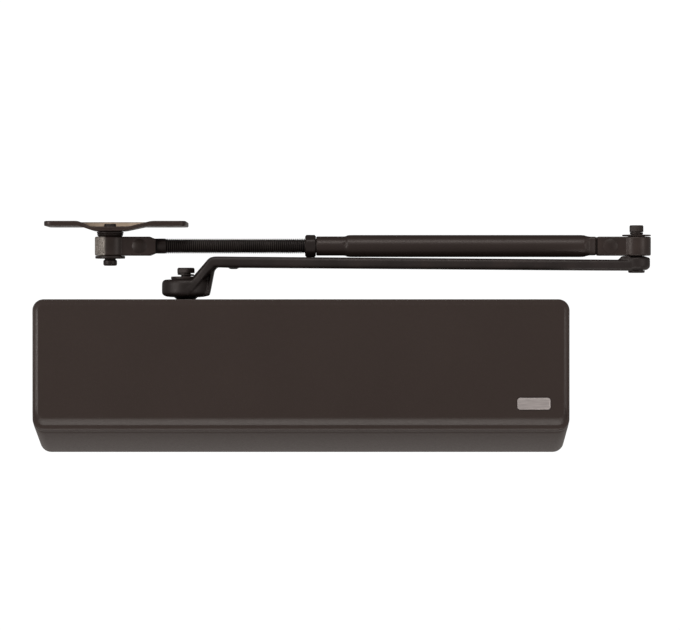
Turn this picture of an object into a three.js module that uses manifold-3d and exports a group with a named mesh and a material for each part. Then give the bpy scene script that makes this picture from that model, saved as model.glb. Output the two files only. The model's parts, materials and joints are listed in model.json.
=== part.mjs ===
// Surface-mounted rack-and-pinion door closer with a folding arm. Millimetres, +Z up.
// +X runs along the closer towards the spring end, +Y points at the door that it is screwed to.
// Origin: the middle of the casting's flat back face, level with the bore.
import * as THREE from 'three';
import { mergeVertices } from 'three/addons/utils/BufferGeometryUtils.js';
import Module from 'manifold-3d';

const wasm = await Module();
wasm.setup();

// ---- driving dimensions ----
const SPINDLE_X = -69.7; // arm pivot
const ARM_Y = -28.5; // one plane for the spindle, the bore, both arms and every pivot
const ELBOW_X = 202.1; // vertical elbow pivot
const SHOE_X = -115.4; // vertical shoe pivot
const FOREARM_Z = 71.1; // axis of tube and rod
const FIT = 0.15; // running clearance on a radius
const REST = 0.1; // gap between pieces that rest on each other

const COVER = {
  halfLength: 160, depth: 57, top: 38.9, frontBottom: -38.9, backBottom: -54.5,
  wall: 2, rim: 3.5, corner: 6.8, doorGap: 0.5, notchHalf: 9,
};
const BADGE = { left: 128.8, right: 148.5, bottom: -26.8, top: -19.8, thick: 0.7, corner: 1.6 };
const BODY = { half: 140, front: -52, halfHeight: 27 };
const EAR = { end: 156, depth: 10, screwX: 148.5, screwZ: 16, screwR: 3.25 };
const BORE_R = 19;
const SPINDLE = {
  bottom: -33, journalR: 6.9, journalTop: 36.6, neckR: 5.65, shoulderR: 7.35,
  square: 8.6, seat: 40.4, top: 50,
};
const BEARING = { outerR: 11.5, length: 11, inner: 20 };
const BOSS_R = 16;
const PINION = {
  module: 1.6, teeth: 10, pressureDeg: 25, addendum: 0.8, clearance: 0.25, thin: 0.28,
  half: 15, reliefHalf: 19.5,
};
const PITCH_R = (PINION.module * PINION.teeth) / 2;
const PISTON = { left: -116, right: -46.5, r: 18.85, slotLeft: -104.5, slotRight: -58.5, sealX: -52.5 };
const SEAT = { left: 112, right: 116, r: 18.7 };
const PLUG = { length: 18, sealFromFace: 9, r: 18.85 };
const SEAL = { groove: 2.45, wire: 1.15, half: 1.4 };
const ADJUSTER = { r: 4, inner: 96, headR: 6.5, headLength: 5, collarR: 7, collarLength: 2.6 };
const VALVES = [['sweep_valve', -20], ['latch_valve', 0], ['backcheck_valve', 20]];
const VALVE = { z: 22.6, r: 3, depth: 11 };
const CLIP = { x: 110, half: 7, thick: 0.8 };

const HUB = { r: 14.5, bottom: 40.6, top: 50.9, round: 2.4, spotR: 9.4 };
const BAR = { halfWidth: 10, topLeft: 64.6, topRight: 62.9, rightX: 180, thick: 6.4 };
const EYE = { r: 8.3, bottom: 56.5, top: 65.1, taperX: 160, taperHalf: 7 };
const NECK = {
  footX: -66.4, topX: -53.6, rightFootX: -55.4, rightTopX: -52.8, rightTopZ: 55.4, filletX: -49.6,
};
const LUG = { left: -44, right: -37.8, half: 4, drop: 0.6 };
const ARM_SCREW = { hex: 10, r: 2.95, shank: 37, headBottom: 55, headTop: 58 };
const PLATE_WASHER = { r: 9, bottom: 51, top: 52.7 };
const ARM_LOCK_WASHER = { r: 5.3, bottom: 53.1, top: 54.7 };

const STRAP = { bottom: 65.3, top: 76.7, legHalf: 5.75, tongueHalf: 2.5, legGap: 2.65 };
const ELBOW = {
  ringR: 8.8, pinR: 5.4, neckR: 3.9, legEndX: 178.3, rivetX: 185.9, headR: 5, headBottom: 54.9,
};
const ELBOW_WASHER = { r: 8.7, bottom: 77.1, top: 77.9 };
const ELBOW_LOCK_WASHER = { r: 4.5, bottom: 78.1, top: 79.4 };
const ELBOW_BOLT = { hex: 8, r: 2.4, shank: 62, headBottom: 79.7, headTop: 83.6 };
const RIVET = { headR: 4.75, shankR: 2.2, headHeight: 1.9 };
const TUBE = {
  r: 6.65, neckR: 5.8, left: 8.9, neckEnd: 26.3, swell: 28.1, right: 170.4, flatX: 173.4, flatEnd: 177.3,
};
const TUBE_BORE = { r: 4.7, end: 95 };
const FLAT = { half: 5.6, shoulderHalfDepth: 4.4, tipR: 5.7 };
const NUT = { hex: 12.6, cornerR: 6.8, left: 2.2, right: 8.7, chamfer: 0.7 };
const ROD = { r: 4.55, shankEnd: -87.2, threadStart: -82.3, inner: 60, tongueHalf: 4.5, tipR: 5.7 };
const SHOE = {
  ringR: 9, pinR: 5.4, legEndX: -87.8, rivetX: -97.5, washerR: 9, washerBottom: 63.5, washerTop: 65.1,
};
const STUD = {
  flangeR: 8.05, flangeBottom: 76.8, flangeTop: 79.8, tipR: 4.15, tipNeckR: 3.3, tipBottom: 59.2, headR: 3.7,
};
const PLATE = {
  left: -154.6, right: -68.3, near: -49, far: -6, bottom: 82.1, top: 85.8, dishBottom: 79.9,
  dish: [-133, -124.6, -105.9, -92.6], dishFar: -14, holeR: 2.6, holeX: [-145, -79], holeY: [-41, -14],
};

// ---- materials ----
const finish = (color, roughness, metalness) => () =>
  new THREE.MeshStandardMaterial({ color, roughness, metalness });
const bronzePaint = finish(0x3b3231, 0.45, 0.2);
const badgeGrey = finish(0x95959a, 0.45, 0.3);
const castAluminium = finish(0x9b9da0, 0.6, 0.9);
const turnedSteel = finish(0x8a8b8d, 0.35, 1.0);
const springSteel = finish(0x4a4a4c, 0.4, 0.9);
const brass = finish(0xa98a4e, 0.4, 0.9);
const rubber = finish(0x151515, 0.8, 0.0);

// ---- solids: closed geometries joined and cut ----
const BASIS_X = new THREE.Matrix4().makeBasis(axis(0, 1, 0), axis(0, 0, 1), axis(1, 0, 0));
const BASIS_Y = new THREE.Matrix4().makeBasis(axis(1, 0, 0), axis(0, 0, 1), axis(0, -1, 0));
const LATHE_Z = new THREE.Matrix4().makeRotationX(Math.PI / 2);
const LATHE_X = new THREE.Matrix4().makeRotationZ(-Math.PI / 2);

function axis(x, y, z) {
  return new THREE.Vector3(x, y, z);
}

// A manifold solid from a closed geometry, with its shared vertices merged and its faces turned outwards.
function solid(geometry) {
  const bare = geometry.clone();
  for (const name of ['normal', 'uv']) bare.deleteAttribute(name);
  const merged = mergeVertices(bare, 1e-4);
  const place = merged.attributes.position.array;
  const index = merged.index.array;
  const kept = [];
  let volume = 0;
  const [a, b, c] = [axis(), axis(), axis()];
  for (let i = 0; i < index.length; i += 3) {
    const [p, q, r] = [index[i], index[i + 1], index[i + 2]];
    if (p === q || q === r || r === p) continue;
    kept.push(p, q, r);
    volume += a.fromArray(place, p * 3).dot(b.fromArray(place, q * 3).cross(c.fromArray(place, r * 3)));
  }
  const triVerts = volume < 0 ? Uint32Array.from(kept).reverse() : Uint32Array.from(kept);
  return new wasm.Manifold(new wasm.Mesh({ numProp: 3, vertProperties: new Float32Array(place), triVerts }));
}

function toGeometry(shape) {
  const { vertProperties, triVerts } = shape.getMesh();
  const geometry = new THREE.BufferGeometry();
  geometry.setAttribute('position', new THREE.BufferAttribute(vertProperties, 3));
  geometry.setIndex(new THREE.BufferAttribute(triVerts, 1));
  geometry.computeVertexNormals();
  return geometry;
}

const join = (first, ...rest) => rest.reduce((sum, next) => sum.add(next), first);
const cut = (first, ...rest) => rest.reduce((left, next) => left.subtract(next), first);
const common = (first, ...rest) => rest.reduce((left, next) => left.intersect(next), first);

function box(x0, x1, y0, y1, z0, z1) {
  const geometry = new THREE.BoxGeometry(x1 - x0, y1 - y0, z1 - z0);
  geometry.translate((x0 + x1) / 2, (y0 + y1) / 2, (z0 + z1) / 2);
  return solid(geometry);
}

function extrude(shape, length, curveSegments = 6) {
  return new THREE.ExtrudeGeometry(shape, { depth: length, bevelEnabled: false, curveSegments });
}

// An outline in (x, y) raised from z0 to z1.
const raise = (shape, z0, z1, curves) => solid(extrude(shape, z1 - z0, curves).translate(0, 0, z0));
// An outline in (x, z) carried from y0 to y1.
const carryY = (shape, y0, y1, curves) =>
  solid(extrude(shape, y1 - y0, curves).applyMatrix4(BASIS_Y).translate(0, y1, 0));
// An outline in (y, z) carried from x0 to x1.
const carryX = (shape, x0, x1, curves) =>
  solid(extrude(shape, x1 - x0, curves).applyMatrix4(BASIS_X).translate(x0, 0, 0));

// A turned piece: [radius, height] pairs from axis to axis, or a closed ring.
function turned(profile, sides = 24) {
  return new THREE.LatheGeometry(profile.map(([r, h]) => new THREE.Vector2(r, h)), sides);
}
const turnedZ = (x, profile, sides) =>
  solid(turned(profile, sides).applyMatrix4(LATHE_Z).translate(x, ARM_Y, 0));
const turnedX = (z, profile, sides) =>
  solid(turned(profile, sides).applyMatrix4(LATHE_X).translate(0, ARM_Y, z));

const rod = (r, h0, h1) => [[0, h0], [r, h0], [r, h1], [0, h1]];
const ring = (inner, outer, h0, h1) => [[inner, h0], [outer, h0], [outer, h1], [inner, h1], [inner, h0]];
const pinZ = (x, r, z0, z1, sides) => turnedZ(x, rod(r, z0, z1), sides);
const pinX = (z, r, x0, x1, sides) => turnedX(z, rod(r, x0, x1), sides);
function pinY(x, z, r, y0, y1, sides = 24) {
  const geometry = new THREE.CylinderGeometry(r, r, y1 - y0, sides);
  return solid(geometry.translate(x, (y0 + y1) / 2, z));
}

function polygon(points) {
  return new THREE.Shape(points.map(([x, y]) => new THREE.Vector2(x, y)));
}

function roundedRect(x0, x1, y0, y1, r) {
  const shape = new THREE.Shape();
  shape.moveTo(x0 + r, y0);
  shape.absarc(x1 - r, y0 + r, r, -Math.PI / 2, 0);
  shape.absarc(x1 - r, y1 - r, r, 0, Math.PI / 2);
  shape.absarc(x0 + r, y1 - r, r, Math.PI / 2, Math.PI);
  shape.absarc(x0 + r, y0 + r, r, Math.PI, Math.PI * 1.5);
  return shape;
}

function hexagon(acrossFlats, turn = 0) {
  const corner = acrossFlats / Math.sqrt(3);
  const points = [];
  for (let i = 0; i < 6; i += 1) {
    const angle = turn + (i * Math.PI) / 3;
    points.push([corner * Math.cos(angle), corner * Math.sin(angle)]);
  }
  return points;
}

const group = new THREE.Group();

function add(name, shape, material) {
  const mesh = new THREE.Mesh(toGeometry(shape), material());
  mesh.name = name;
  group.add(mesh);
}

// ---- cover ----

// The cover's outer block, drawn in by inset on every side but the open back.
function coverBlock(inset) {
  const slope = (COVER.frontBottom - COVER.backBottom) / COVER.depth;
  const front = -COVER.depth + inset;
  const top = COVER.top - inset;
  const end = COVER.halfLength - inset;
  const rim = COVER.rim - inset / 2;
  const corner = COVER.corner - inset;
  const bottomAtFront = COVER.frontBottom + inset * (Math.hypot(1, slope) - slope);
  const back = inset > 0 ? 1 : -COVER.doorGap;
  const low = bottomAtFront - slope * (back - front);
  const side = new THREE.Shape();
  side.moveTo(back, top);
  side.lineTo(front + rim, top);
  side.absarc(front + rim, top - rim, rim, Math.PI / 2, Math.PI);
  side.absarc(front + rim, bottomAtFront + rim, rim, Math.PI, Math.PI * 1.5);
  side.lineTo(back, low);
  const plan = roundedRect(-end, end, front, 30, rim);
  const topOutline = roundedRect(-end, end, -100, top, corner);
  const bottomOutline = roundedRect(-end, end, bottomAtFront, 100, corner);
  const sheared = extrude(bottomOutline, back - front).applyMatrix4(BASIS_Y).translate(0, back, 0);
  const shear = new THREE.Matrix4().set(1, 0, 0, 0, 0, 1, 0, 0, 0, -slope, 1, slope * front, 0, 0, 0, 1);
  return common(
    carryX(side, -end, end, 5),
    raise(plan, -100, 100, 5),
    carryY(topOutline, front, back),
    solid(sheared.applyMatrix4(shear)),
  );
}

function cover() {
  const notch = new THREE.Shape();
  notch.moveTo(SPINDLE_X + COVER.notchHalf, 5);
  notch.lineTo(SPINDLE_X - COVER.notchHalf, 5);
  notch.absarc(SPINDLE_X, ARM_Y, COVER.notchHalf, Math.PI, Math.PI * 2);
  return cut(coverBlock(0), coverBlock(COVER.wall), raise(notch, 30, 45, 8));
}

function badge() {
  const outline = roundedRect(BADGE.left, BADGE.right, BADGE.bottom, BADGE.top, BADGE.corner);
  const back = -COVER.depth - REST / 2;
  return carryY(outline, back - BADGE.thick, back, 4);
}

// ---- casting and what is screwed into it ----

function bodyCasting() {
  const block = box(-BODY.half, BODY.half, BODY.front, 0, -BODY.halfHeight, BODY.halfHeight);
  const ears = box(-EAR.end, EAR.end, -EAR.depth, 0, -BODY.halfHeight, BODY.halfHeight);
  const bossHalf = BEARING.inner + BEARING.length + 4;
  const boss = pinZ(SPINDLE_X, BOSS_R, -bossHalf, bossHalf, 28);
  const bore = pinX(0, BORE_R, -BODY.half - 1, BODY.half + 1, 36);
  const spindleHole = pinZ(SPINDLE_X, BEARING.outerR + REST, -bossHalf - 1, bossHalf + 1, 24);
  const valveEnd = BODY.front + VALVE.depth + 1;
  const valveHoles = VALVES.map(([, x]) => pinY(x, VALVE.z, VALVE.r + FIT, BODY.front - 1, valveEnd, 12));
  const screwHoles = [];
  for (const x of [-EAR.screwX, EAR.screwX]) {
    for (const z of [-EAR.screwZ, EAR.screwZ]) {
      screwHoles.push(pinY(x, z, EAR.screwR, -EAR.depth - 1, 1, 12));
    }
  }
  return cut(join(block, ears, boss), bore, spindleHole, ...valveHoles, ...screwHoles);
}

function spindleBearing(sign) {
  const near = sign * BEARING.inner;
  const far = sign * (BEARING.inner + BEARING.length);
  const ends = [Math.min(near, far), Math.max(near, far)];
  return turnedZ(SPINDLE_X, ring(SPINDLE.journalR + FIT, BEARING.outerR, ...ends), 20);
}

function spindleSealNut() {
  const bottom = BEARING.inner + BEARING.length + REST;
  return turnedZ(SPINDLE_X, ring(SPINDLE.journalR + FIT, BEARING.outerR, bottom, bottom + 4.5), 20);
}

function lowerSpindleCap() {
  const top = SPINDLE.bottom - REST;
  return pinZ(SPINDLE_X, BEARING.outerR, top - 1.8, top, 20);
}

// A groove all round a piece in the bore, for its seal.
const sealGroove = (x, r) => turnedX(0, ring(r - SEAL.groove, r + 1, x - SEAL.half, x + SEAL.half), 28);

function seal(x) {
  const geometry = new THREE.TorusGeometry(BORE_R - SEAL.wire - 0.1, SEAL.wire, 5, 24);
  return solid(geometry.rotateY(Math.PI / 2).translate(x, ARM_Y, 0));
}

function endPlug(sign) {
  const outer = sign * BODY.half;
  const inner = sign * (BODY.half - PLUG.length);
  const plug = pinX(0, PLUG.r, Math.min(outer, inner), Math.max(outer, inner), 28);
  const sealX = sign * (BODY.half - PLUG.sealFromFace);
  const socket = carryX(polygon(hexagon(8).map(([y, z]) => [y + ARM_Y, z])), outer - 5, outer + 5);
  const adjusterHole = pinX(0, ADJUSTER.r + FIT, inner - 1, outer + 1, 16);
  return cut(plug, sealGroove(sealX, PLUG.r), sign > 0 ? adjusterHole : socket);
}

function powerAdjuster() {
  const face = BODY.half + REST;
  const collar = BODY.half - PLUG.length - REST;
  const shaft = pinX(0, ADJUSTER.r, ADJUSTER.inner, face + 1, 16);
  const head = pinX(0, ADJUSTER.headR, face, face + ADJUSTER.headLength, 18);
  const stop = pinX(0, ADJUSTER.collarR, collar - ADJUSTER.collarLength, collar, 18);
  const socket = polygon(hexagon(5).map(([y, z]) => [y + ARM_Y, z]));
  return cut(join(shaft, head, stop), carryX(socket, face + 1.5, face + ADJUSTER.headLength + 1));
}

const springSeat = () => turnedX(0, ring(ADJUSTER.r + FIT, SEAT.r, SEAT.left, SEAT.right), 24);

// A round wire wound round the bore's axis between two faces, laid flat at both ends.
class Coil extends THREE.Curve {
  constructor(radius, wire, turns, from, to) {
    super();
    Object.assign(this, { radius, turns, start: from + wire, travel: to - from - 2 * wire });
  }

  getPoint(t, target = new THREE.Vector3()) {
    const angle = t * this.turns * Math.PI * 2;
    const y = ARM_Y + this.radius * Math.cos(angle);
    return target.set(this.start + this.travel * t, y, this.radius * Math.sin(angle));
  }
}

function spring(radius, wire, turns, stepsPerTurn, sides) {
  const path = new Coil(radius, wire, turns, PISTON.right + 0.3, SEAT.left - 0.3);
  const section = polygon(Array.from({ length: sides }, (_, i) => {
    const angle = (i * Math.PI * 2) / sides;
    return [wire * Math.cos(angle), wire * Math.sin(angle)];
  }));
  const steps = turns * stepsPerTurn;
  return solid(new THREE.ExtrudeGeometry(section, { steps, extrudePath: path, bevelEnabled: false }));
}

function valve(x) {
  const screw = pinY(x, VALVE.z, VALVE.r, BODY.front - 0.3, BODY.front + VALVE.depth, 12);
  const halfSlot = 0.5;
  const slot = [VALVE.z - halfSlot, VALVE.z + halfSlot];
  return cut(screw, box(x - VALVE.r - 1, x + VALVE.r + 1, BODY.front - 2, BODY.front + 1, ...slot));
}

// A bent strip standing on the casting that the cover's top snaps over.
function coverClip(x) {
  const low = BODY.halfHeight + REST;
  const high = COVER.top - COVER.wall - REST;
  const t = CLIP.thick;
  const outline = polygon([
    [-34, low], [-12, low], [-12, low + t], [-25, low + t], [-21, high], [-22, high],
    [-26, low + t], [-34, low + t],
  ]);
  return carryX(outline, x - CLIP.half, x + CLIP.half);
}

// ---- piston, rack and pinion ----

const PITCH = Math.PI * PINION.module;
const PRESSURE = THREE.MathUtils.degToRad(PINION.pressureDeg);
const TOOTH_REACH = PINION.addendum * PINION.module;
const TOOTH_DEPTH = (PINION.addendum + PINION.clearance) * PINION.module;
const TIP_R = PITCH_R + TOOTH_REACH;
const ROOT_R = PITCH_R - TOOTH_DEPTH;

// Half the angle of one pinion tooth at a radius: an involute flank, radial inside the base circle.
function toothHalfAngle(radius) {
  const involute = (angle) => Math.tan(angle) - angle;
  const base = PITCH_R * Math.cos(PRESSURE);
  const here = Math.acos(Math.min(1, base / Math.max(radius, base)));
  const half = (PITCH / 2 - PINION.thin) / 2 / PITCH_R;
  return half + involute(PRESSURE) - involute(here);
}

function pinionOutline() {
  const base = PITCH_R * Math.cos(PRESSURE);
  const radii = [ROOT_R, base, base + (TIP_R - base) * 0.35, base + (TIP_R - base) * 0.7, TIP_R];
  const points = [];
  for (let tooth = 0; tooth < PINION.teeth; tooth += 1) {
    const middle = Math.PI / 2 + (tooth * Math.PI * 2) / PINION.teeth;
    const flank = radii.map((r) => [r, toothHalfAngle(r)]);
    const along = (side) => ([r, half]) => {
      const angle = middle + side * half;
      return [r * Math.cos(angle), r * Math.sin(angle)];
    };
    points.push(...flank.map(along(-1)), ...flank.reverse().map(along(1)));
  }
  return points.map(([x, y]) => [x + SPINDLE_X, y + ARM_Y]);
}

// The opening through the piston: plain on the near side, a straight rack on the door side.
function pistonSlot() {
  const near = ARM_Y - TIP_R - 1;
  const tip = ARM_Y + PITCH_R - TOOTH_REACH;
  const root = ARM_Y + PITCH_R + TOOTH_DEPTH;
  const spaceAtPitch = PITCH / 2 + PINION.thin;
  const halfTip = spaceAtPitch / 2 + TOOTH_REACH * Math.tan(PRESSURE);
  const halfRoot = spaceAtPitch / 2 - TOOTH_DEPTH * Math.tan(PRESSURE);
  const points = [[PISTON.slotLeft, near], [PISTON.slotLeft, tip]];
  const first = Math.ceil((PISTON.slotLeft - SPINDLE_X + halfTip) / PITCH);
  const last = Math.floor((PISTON.slotRight - SPINDLE_X - halfTip) / PITCH);
  for (let i = first; i <= last; i += 1) {
    const x = SPINDLE_X + i * PITCH;
    points.push([x - halfTip, tip], [x - halfRoot, root], [x + halfRoot, root], [x + halfTip, tip]);
  }
  points.push([PISTON.slotRight, tip], [PISTON.slotRight, near]);
  return polygon(points);
}

const CHECK = { r: 3.9, hole: 4.05 };

function piston() {
  const barrel = pinX(0, PISTON.r, PISTON.left, PISTON.right, 36);
  const checkHole = pinX(0, CHECK.hole, PISTON.slotRight - 1, PISTON.right + 1, 14);
  return cut(barrel, raise(pistonSlot(), -25, 25), sealGroove(PISTON.sealX, PISTON.r), checkHole);
}

function checkValve() {
  const length = [PISTON.slotRight + 0.6, PISTON.right - 0.4];
  return turnedX(0, ring(1.2, CHECK.r, ...length), 16);
}

function pinionSpindle() {
  const s = SPINDLE;
  const shaft = turnedZ(SPINDLE_X, [
    [0, s.bottom], [s.journalR - 0.6, s.bottom], [s.journalR, s.bottom + 0.6], [s.journalR, s.journalTop],
    [s.neckR, s.journalTop + 1], [s.neckR, COVER.top], [s.shoulderR, s.seat], [0, s.seat],
  ], 20);
  const relief = turnedZ(SPINDLE_X, ring(ROOT_R - 0.5, 12, -PINION.reliefHalf, PINION.reliefHalf), 20);
  const teeth = raise(polygon(pinionOutline()), -PINION.half, PINION.half);
  const half = s.square / 2;
  const square = box(SPINDLE_X - half, SPINDLE_X + half, ARM_Y - half, ARM_Y + half, s.seat - 1, s.top);
  const screwHole = pinZ(SPINDLE_X, ARM_SCREW.r + FIT, ARM_SCREW.shank - 2, s.top + 1, 12);
  return cut(join(cut(shaft, relief), teeth, square), screwHole);
}

// ---- main arm ----

function hub() {
  const { r, bottom, top, round } = HUB;
  const soft = round * (1 - Math.SQRT1_2);
  return turnedZ(SPINDLE_X, [
    [0, bottom], [r - round, bottom], [r - soft, bottom + soft], [r, bottom + round],
    [r, top - round], [r - soft, top - soft], [r - round, top], [0, top],
  ], 32);
}

// The gooseneck and bar seen from the side: up at 45 degrees from the hub, then level, thinning slightly.
function armSide() {
  const barBottomLeft = BAR.topLeft - BAR.thick;
  const barBottomRight = BAR.topRight - BAR.thick;
  const eyeMeetX = ELBOW_X - EYE.r / 2;
  return polygon([
    [NECK.footX, HUB.bottom + 2], [NECK.rightFootX - 1.5, HUB.bottom + 0.3],
    [NECK.rightFootX, HUB.bottom + 1.8],
    [NECK.rightTopX, NECK.rightTopZ], [NECK.rightTopX + 0.9, barBottomLeft - 0.9],
    [NECK.filletX, barBottomLeft],
    [BAR.rightX, barBottomRight], [eyeMeetX, barBottomRight], [eyeMeetX, BAR.topRight],
    [BAR.rightX, BAR.topRight], [NECK.topX + 2, BAR.topLeft], [NECK.topX, BAR.topLeft - 0.6],
    [NECK.footX, HUB.top],
  ]);
}

// The bar's outline from above: full width, then narrowing to the eye.
function armPlan() {
  const full = BAR.halfWidth + 1;
  const left = SPINDLE_X - HUB.r;
  const right = ELBOW_X;
  const half = [[left, full], [EYE.taperX, full], [right, EYE.taperHalf]];
  const points = [...half, ...half.map(([x, y]) => [x, -y]).reverse()];
  return polygon(points.map(([x, y]) => [x, y + ARM_Y]));
}

function mainArm() {
  const profile = carryY(armSide(), ARM_Y - BAR.halfWidth, ARM_Y + BAR.halfWidth);
  const side = common(profile, raise(armPlan(), HUB.bottom, EYE.top + 1));
  const eye = turnedZ(ELBOW_X, [
    [0, EYE.bottom], [EYE.r - 0.8, EYE.bottom], [EYE.r, EYE.bottom + 0.8],
    [EYE.r, EYE.top - 0.8], [EYE.r - 0.8, EYE.top], [0, EYE.top],
  ], 28);
  const lugBottom = BAR.topLeft - BAR.thick - LUG.drop;
  const lug = box(LUG.left, LUG.right, ARM_Y - LUG.half, ARM_Y + LUG.half, lugBottom, BAR.topLeft - 2);
  const half = SPINDLE.square / 2 + FIT;
  const across = [SPINDLE_X - half, SPINDLE_X + half, ARM_Y - half, ARM_Y + half];
  const squareHole = box(...across, HUB.bottom - 1, HUB.top + 1);
  const spotFace = pinZ(SPINDLE_X, HUB.spotR, HUB.top, 70, 28);
  const eyeHole = pinZ(ELBOW_X, ELBOW.neckR + REST, EYE.bottom - 2, EYE.top + 2, 24);
  return cut(join(hub(), side, eye, lug), squareHole, spotFace, eyeHole);
}

const washer = (x, hole, size, sides = 24) => turnedZ(x, ring(hole, size.r, size.bottom, size.top), sides);

// A spring lock washer: a ring with a narrow gap on its near right side.
function lockWasher(x, hole, size) {
  const gap = box(x + 1.5, x + 2.5, ARM_Y - size.r - 1, ARM_Y, size.bottom - 1, size.top + 1);
  return cut(washer(x, hole, size, 20), gap);
}

function hexScrew(x, size, turn) {
  const head = polygon(hexagon(size.hex, turn).map(([dx, dy]) => [x + dx, ARM_Y + dy]));
  const corner = size.hex / Math.sqrt(3);
  const chamfer = turnedZ(x, [
    [0, size.headBottom - 1], [corner, size.headBottom - 1], [corner, size.headTop - 0.7],
    [corner - 0.9, size.headTop], [0, size.headTop],
  ], 24);
  const shank = pinZ(x, size.r, size.shank, size.headBottom + 1, 12);
  return join(common(raise(head, size.headBottom, size.headTop), chamfer), shank);
}

function elbowStud() {
  const top = STRAP.top + 0.2;
  const head = turnedZ(ELBOW_X, [
    [0, ELBOW.headBottom], [ELBOW.headR - 0.8, ELBOW.headBottom], [ELBOW.headR, ELBOW.headBottom + 0.6],
    [ELBOW.headR, EYE.bottom - REST], [ELBOW.neckR, EYE.bottom - REST],
    [ELBOW.neckR, EYE.top + REST], [ELBOW.pinR, EYE.top + REST], [ELBOW.pinR, top], [0, top],
  ], 24);
  return cut(head, pinZ(ELBOW_X, ELBOW_BOLT.r + FIT, ELBOW_BOLT.shank - 2, top + 1, 12));
}

// ---- strap knuckles: a strap looped round a vertical pin, its two legs riveted to a flat tongue ----

// dir is +1 when the legs point along +X from the pin.
function strap(pinX0, ringR, pinR, legEnd, rivetX, dir, chamfer) {
  const loop = turnedZ(pinX0, ring(pinR + FIT, ringR, STRAP.bottom, STRAP.top), 28);
  const [low, high, middle] = [STRAP.bottom, STRAP.top, (STRAP.bottom + STRAP.top) / 2];
  const start = pinX0 + dir * (pinR + 1.6);
  const drop = chamfer * 0.7;
  const legSide = polygon([
    [start, low], [legEnd - dir * chamfer, low], [legEnd, low + drop],
    [legEnd, high - drop], [legEnd - dir * chamfer, high], [start, high],
  ]);
  const legs = carryY(legSide, ARM_Y - STRAP.legHalf, ARM_Y + STRAP.legHalf);
  const slotStart = pinX0 + dir * (ringR + 0.1);
  const [x0, x1] = [slotStart, legEnd + dir * 5].sort((p, q) => p - q);
  const slot = box(x0, x1, ARM_Y - STRAP.legGap, ARM_Y + STRAP.legGap, low - 1, high + 1);
  const rivetHole = pinY(rivetX, middle, RIVET.shankR + REST, ARM_Y - 10, ARM_Y + 10, 12);
  return cut(join(loop, cut(legs, pinZ(pinX0, pinR + FIT, low - 1, high + 1, 28))), slot, rivetHole);
}

function rivet(x) {
  const z = (STRAP.bottom + STRAP.top) / 2;
  const face = STRAP.legHalf + REST;
  const { headR, shankR, headHeight } = RIVET;
  const geometry = turned([
    [0, -face - headHeight], [headR * 0.6, -face - headHeight * 0.8], [headR, -face - 0.4], [headR, -face],
    [shankR, -face], [shankR, face], [headR, face], [headR, face + 0.4],
    [headR * 0.6, face + headHeight * 0.8],
    [0, face + headHeight],
  ], 16);
  return solid(geometry.translate(x, ARM_Y, z));
}

const rivetZ = (STRAP.bottom + STRAP.top) / 2;

// A flat tongue between a strap's legs, round at its tip about the rivet.
function tongue(from, rivetX, half, tipR) {
  const [x0, x1] = [from, rivetX].sort((p, q) => p - q);
  const tip = pinY(rivetX, rivetZ, tipR, ARM_Y - STRAP.tongueHalf, ARM_Y + STRAP.tongueHalf, 24);
  const thin = STRAP.tongueHalf;
  const plate = box(x0, x1, ARM_Y - thin, ARM_Y + thin, FOREARM_Z - half, FOREARM_Z + half);
  const hole = pinY(rivetX, rivetZ, RIVET.shankR + REST, ARM_Y - 6, ARM_Y + 6, 12);
  return [join(plate, tip), hole];
}

function forearmTube() {
  const t = TUBE;
  const round = turnedX(FOREARM_Z, [
    [0, t.left], [t.neckR - 0.4, t.left], [t.neckR, t.left + 0.4], [t.neckR, t.neckEnd],
    [t.r, t.swell], [t.r, t.right], [t.r - 1, t.flatX + 1], [0, t.flatX + 1],
  ], 28);
  const deep = FLAT.shoulderHalfDepth;
  const tall = FLAT.half;
  const section = [ARM_Y - deep, ARM_Y + deep, FOREARM_Z - tall, FOREARM_Z + tall];
  const shoulder = box(t.flatX - 1, t.flatEnd, ...section);
  const [blade, hole] = tongue(t.flatEnd - 1, ELBOW.rivetX, FLAT.half - 0.3, FLAT.tipR);
  const bore = pinX(FOREARM_Z, TUBE_BORE.r, t.left - 1, TUBE_BORE.end, 20);
  return cut(join(round, shoulder, blade), hole, bore);
}

function adjustingRod() {
  const shank = turnedX(FOREARM_Z, [
    [0, ROD.shankEnd], [ROD.r, ROD.shankEnd], [ROD.r, ROD.threadStart], [ROD.r - 0.15, ROD.threadStart + 0.3],
    [ROD.r - 0.15, ROD.inner - 1], [ROD.r - 1, ROD.inner], [0, ROD.inner],
  ], 20);
  const [blade, hole] = tongue(ROD.shankEnd + 1, SHOE.rivetX, ROD.tongueHalf, ROD.tipR);
  return cut(join(shank, blade), hole);
}

function lockNut() {
  const corner = NUT.cornerR;
  const outline = polygon(hexagon(NUT.hex).map(([y, z]) => [y + ARM_Y, z + FOREARM_Z]));
  const chamfered = turnedX(FOREARM_Z, [
    [0, NUT.left], [corner - NUT.chamfer, NUT.left], [corner, NUT.left + NUT.chamfer],
    [corner, NUT.right - NUT.chamfer], [corner - NUT.chamfer, NUT.right], [0, NUT.right],
  ], 24);
  const bore = pinX(FOREARM_Z, TUBE_BORE.r, NUT.left - 1, NUT.right + 1, 20);
  return cut(common(carryX(outline, NUT.left, NUT.right), chamfered), bore);
}

// ---- shoe ----

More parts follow.
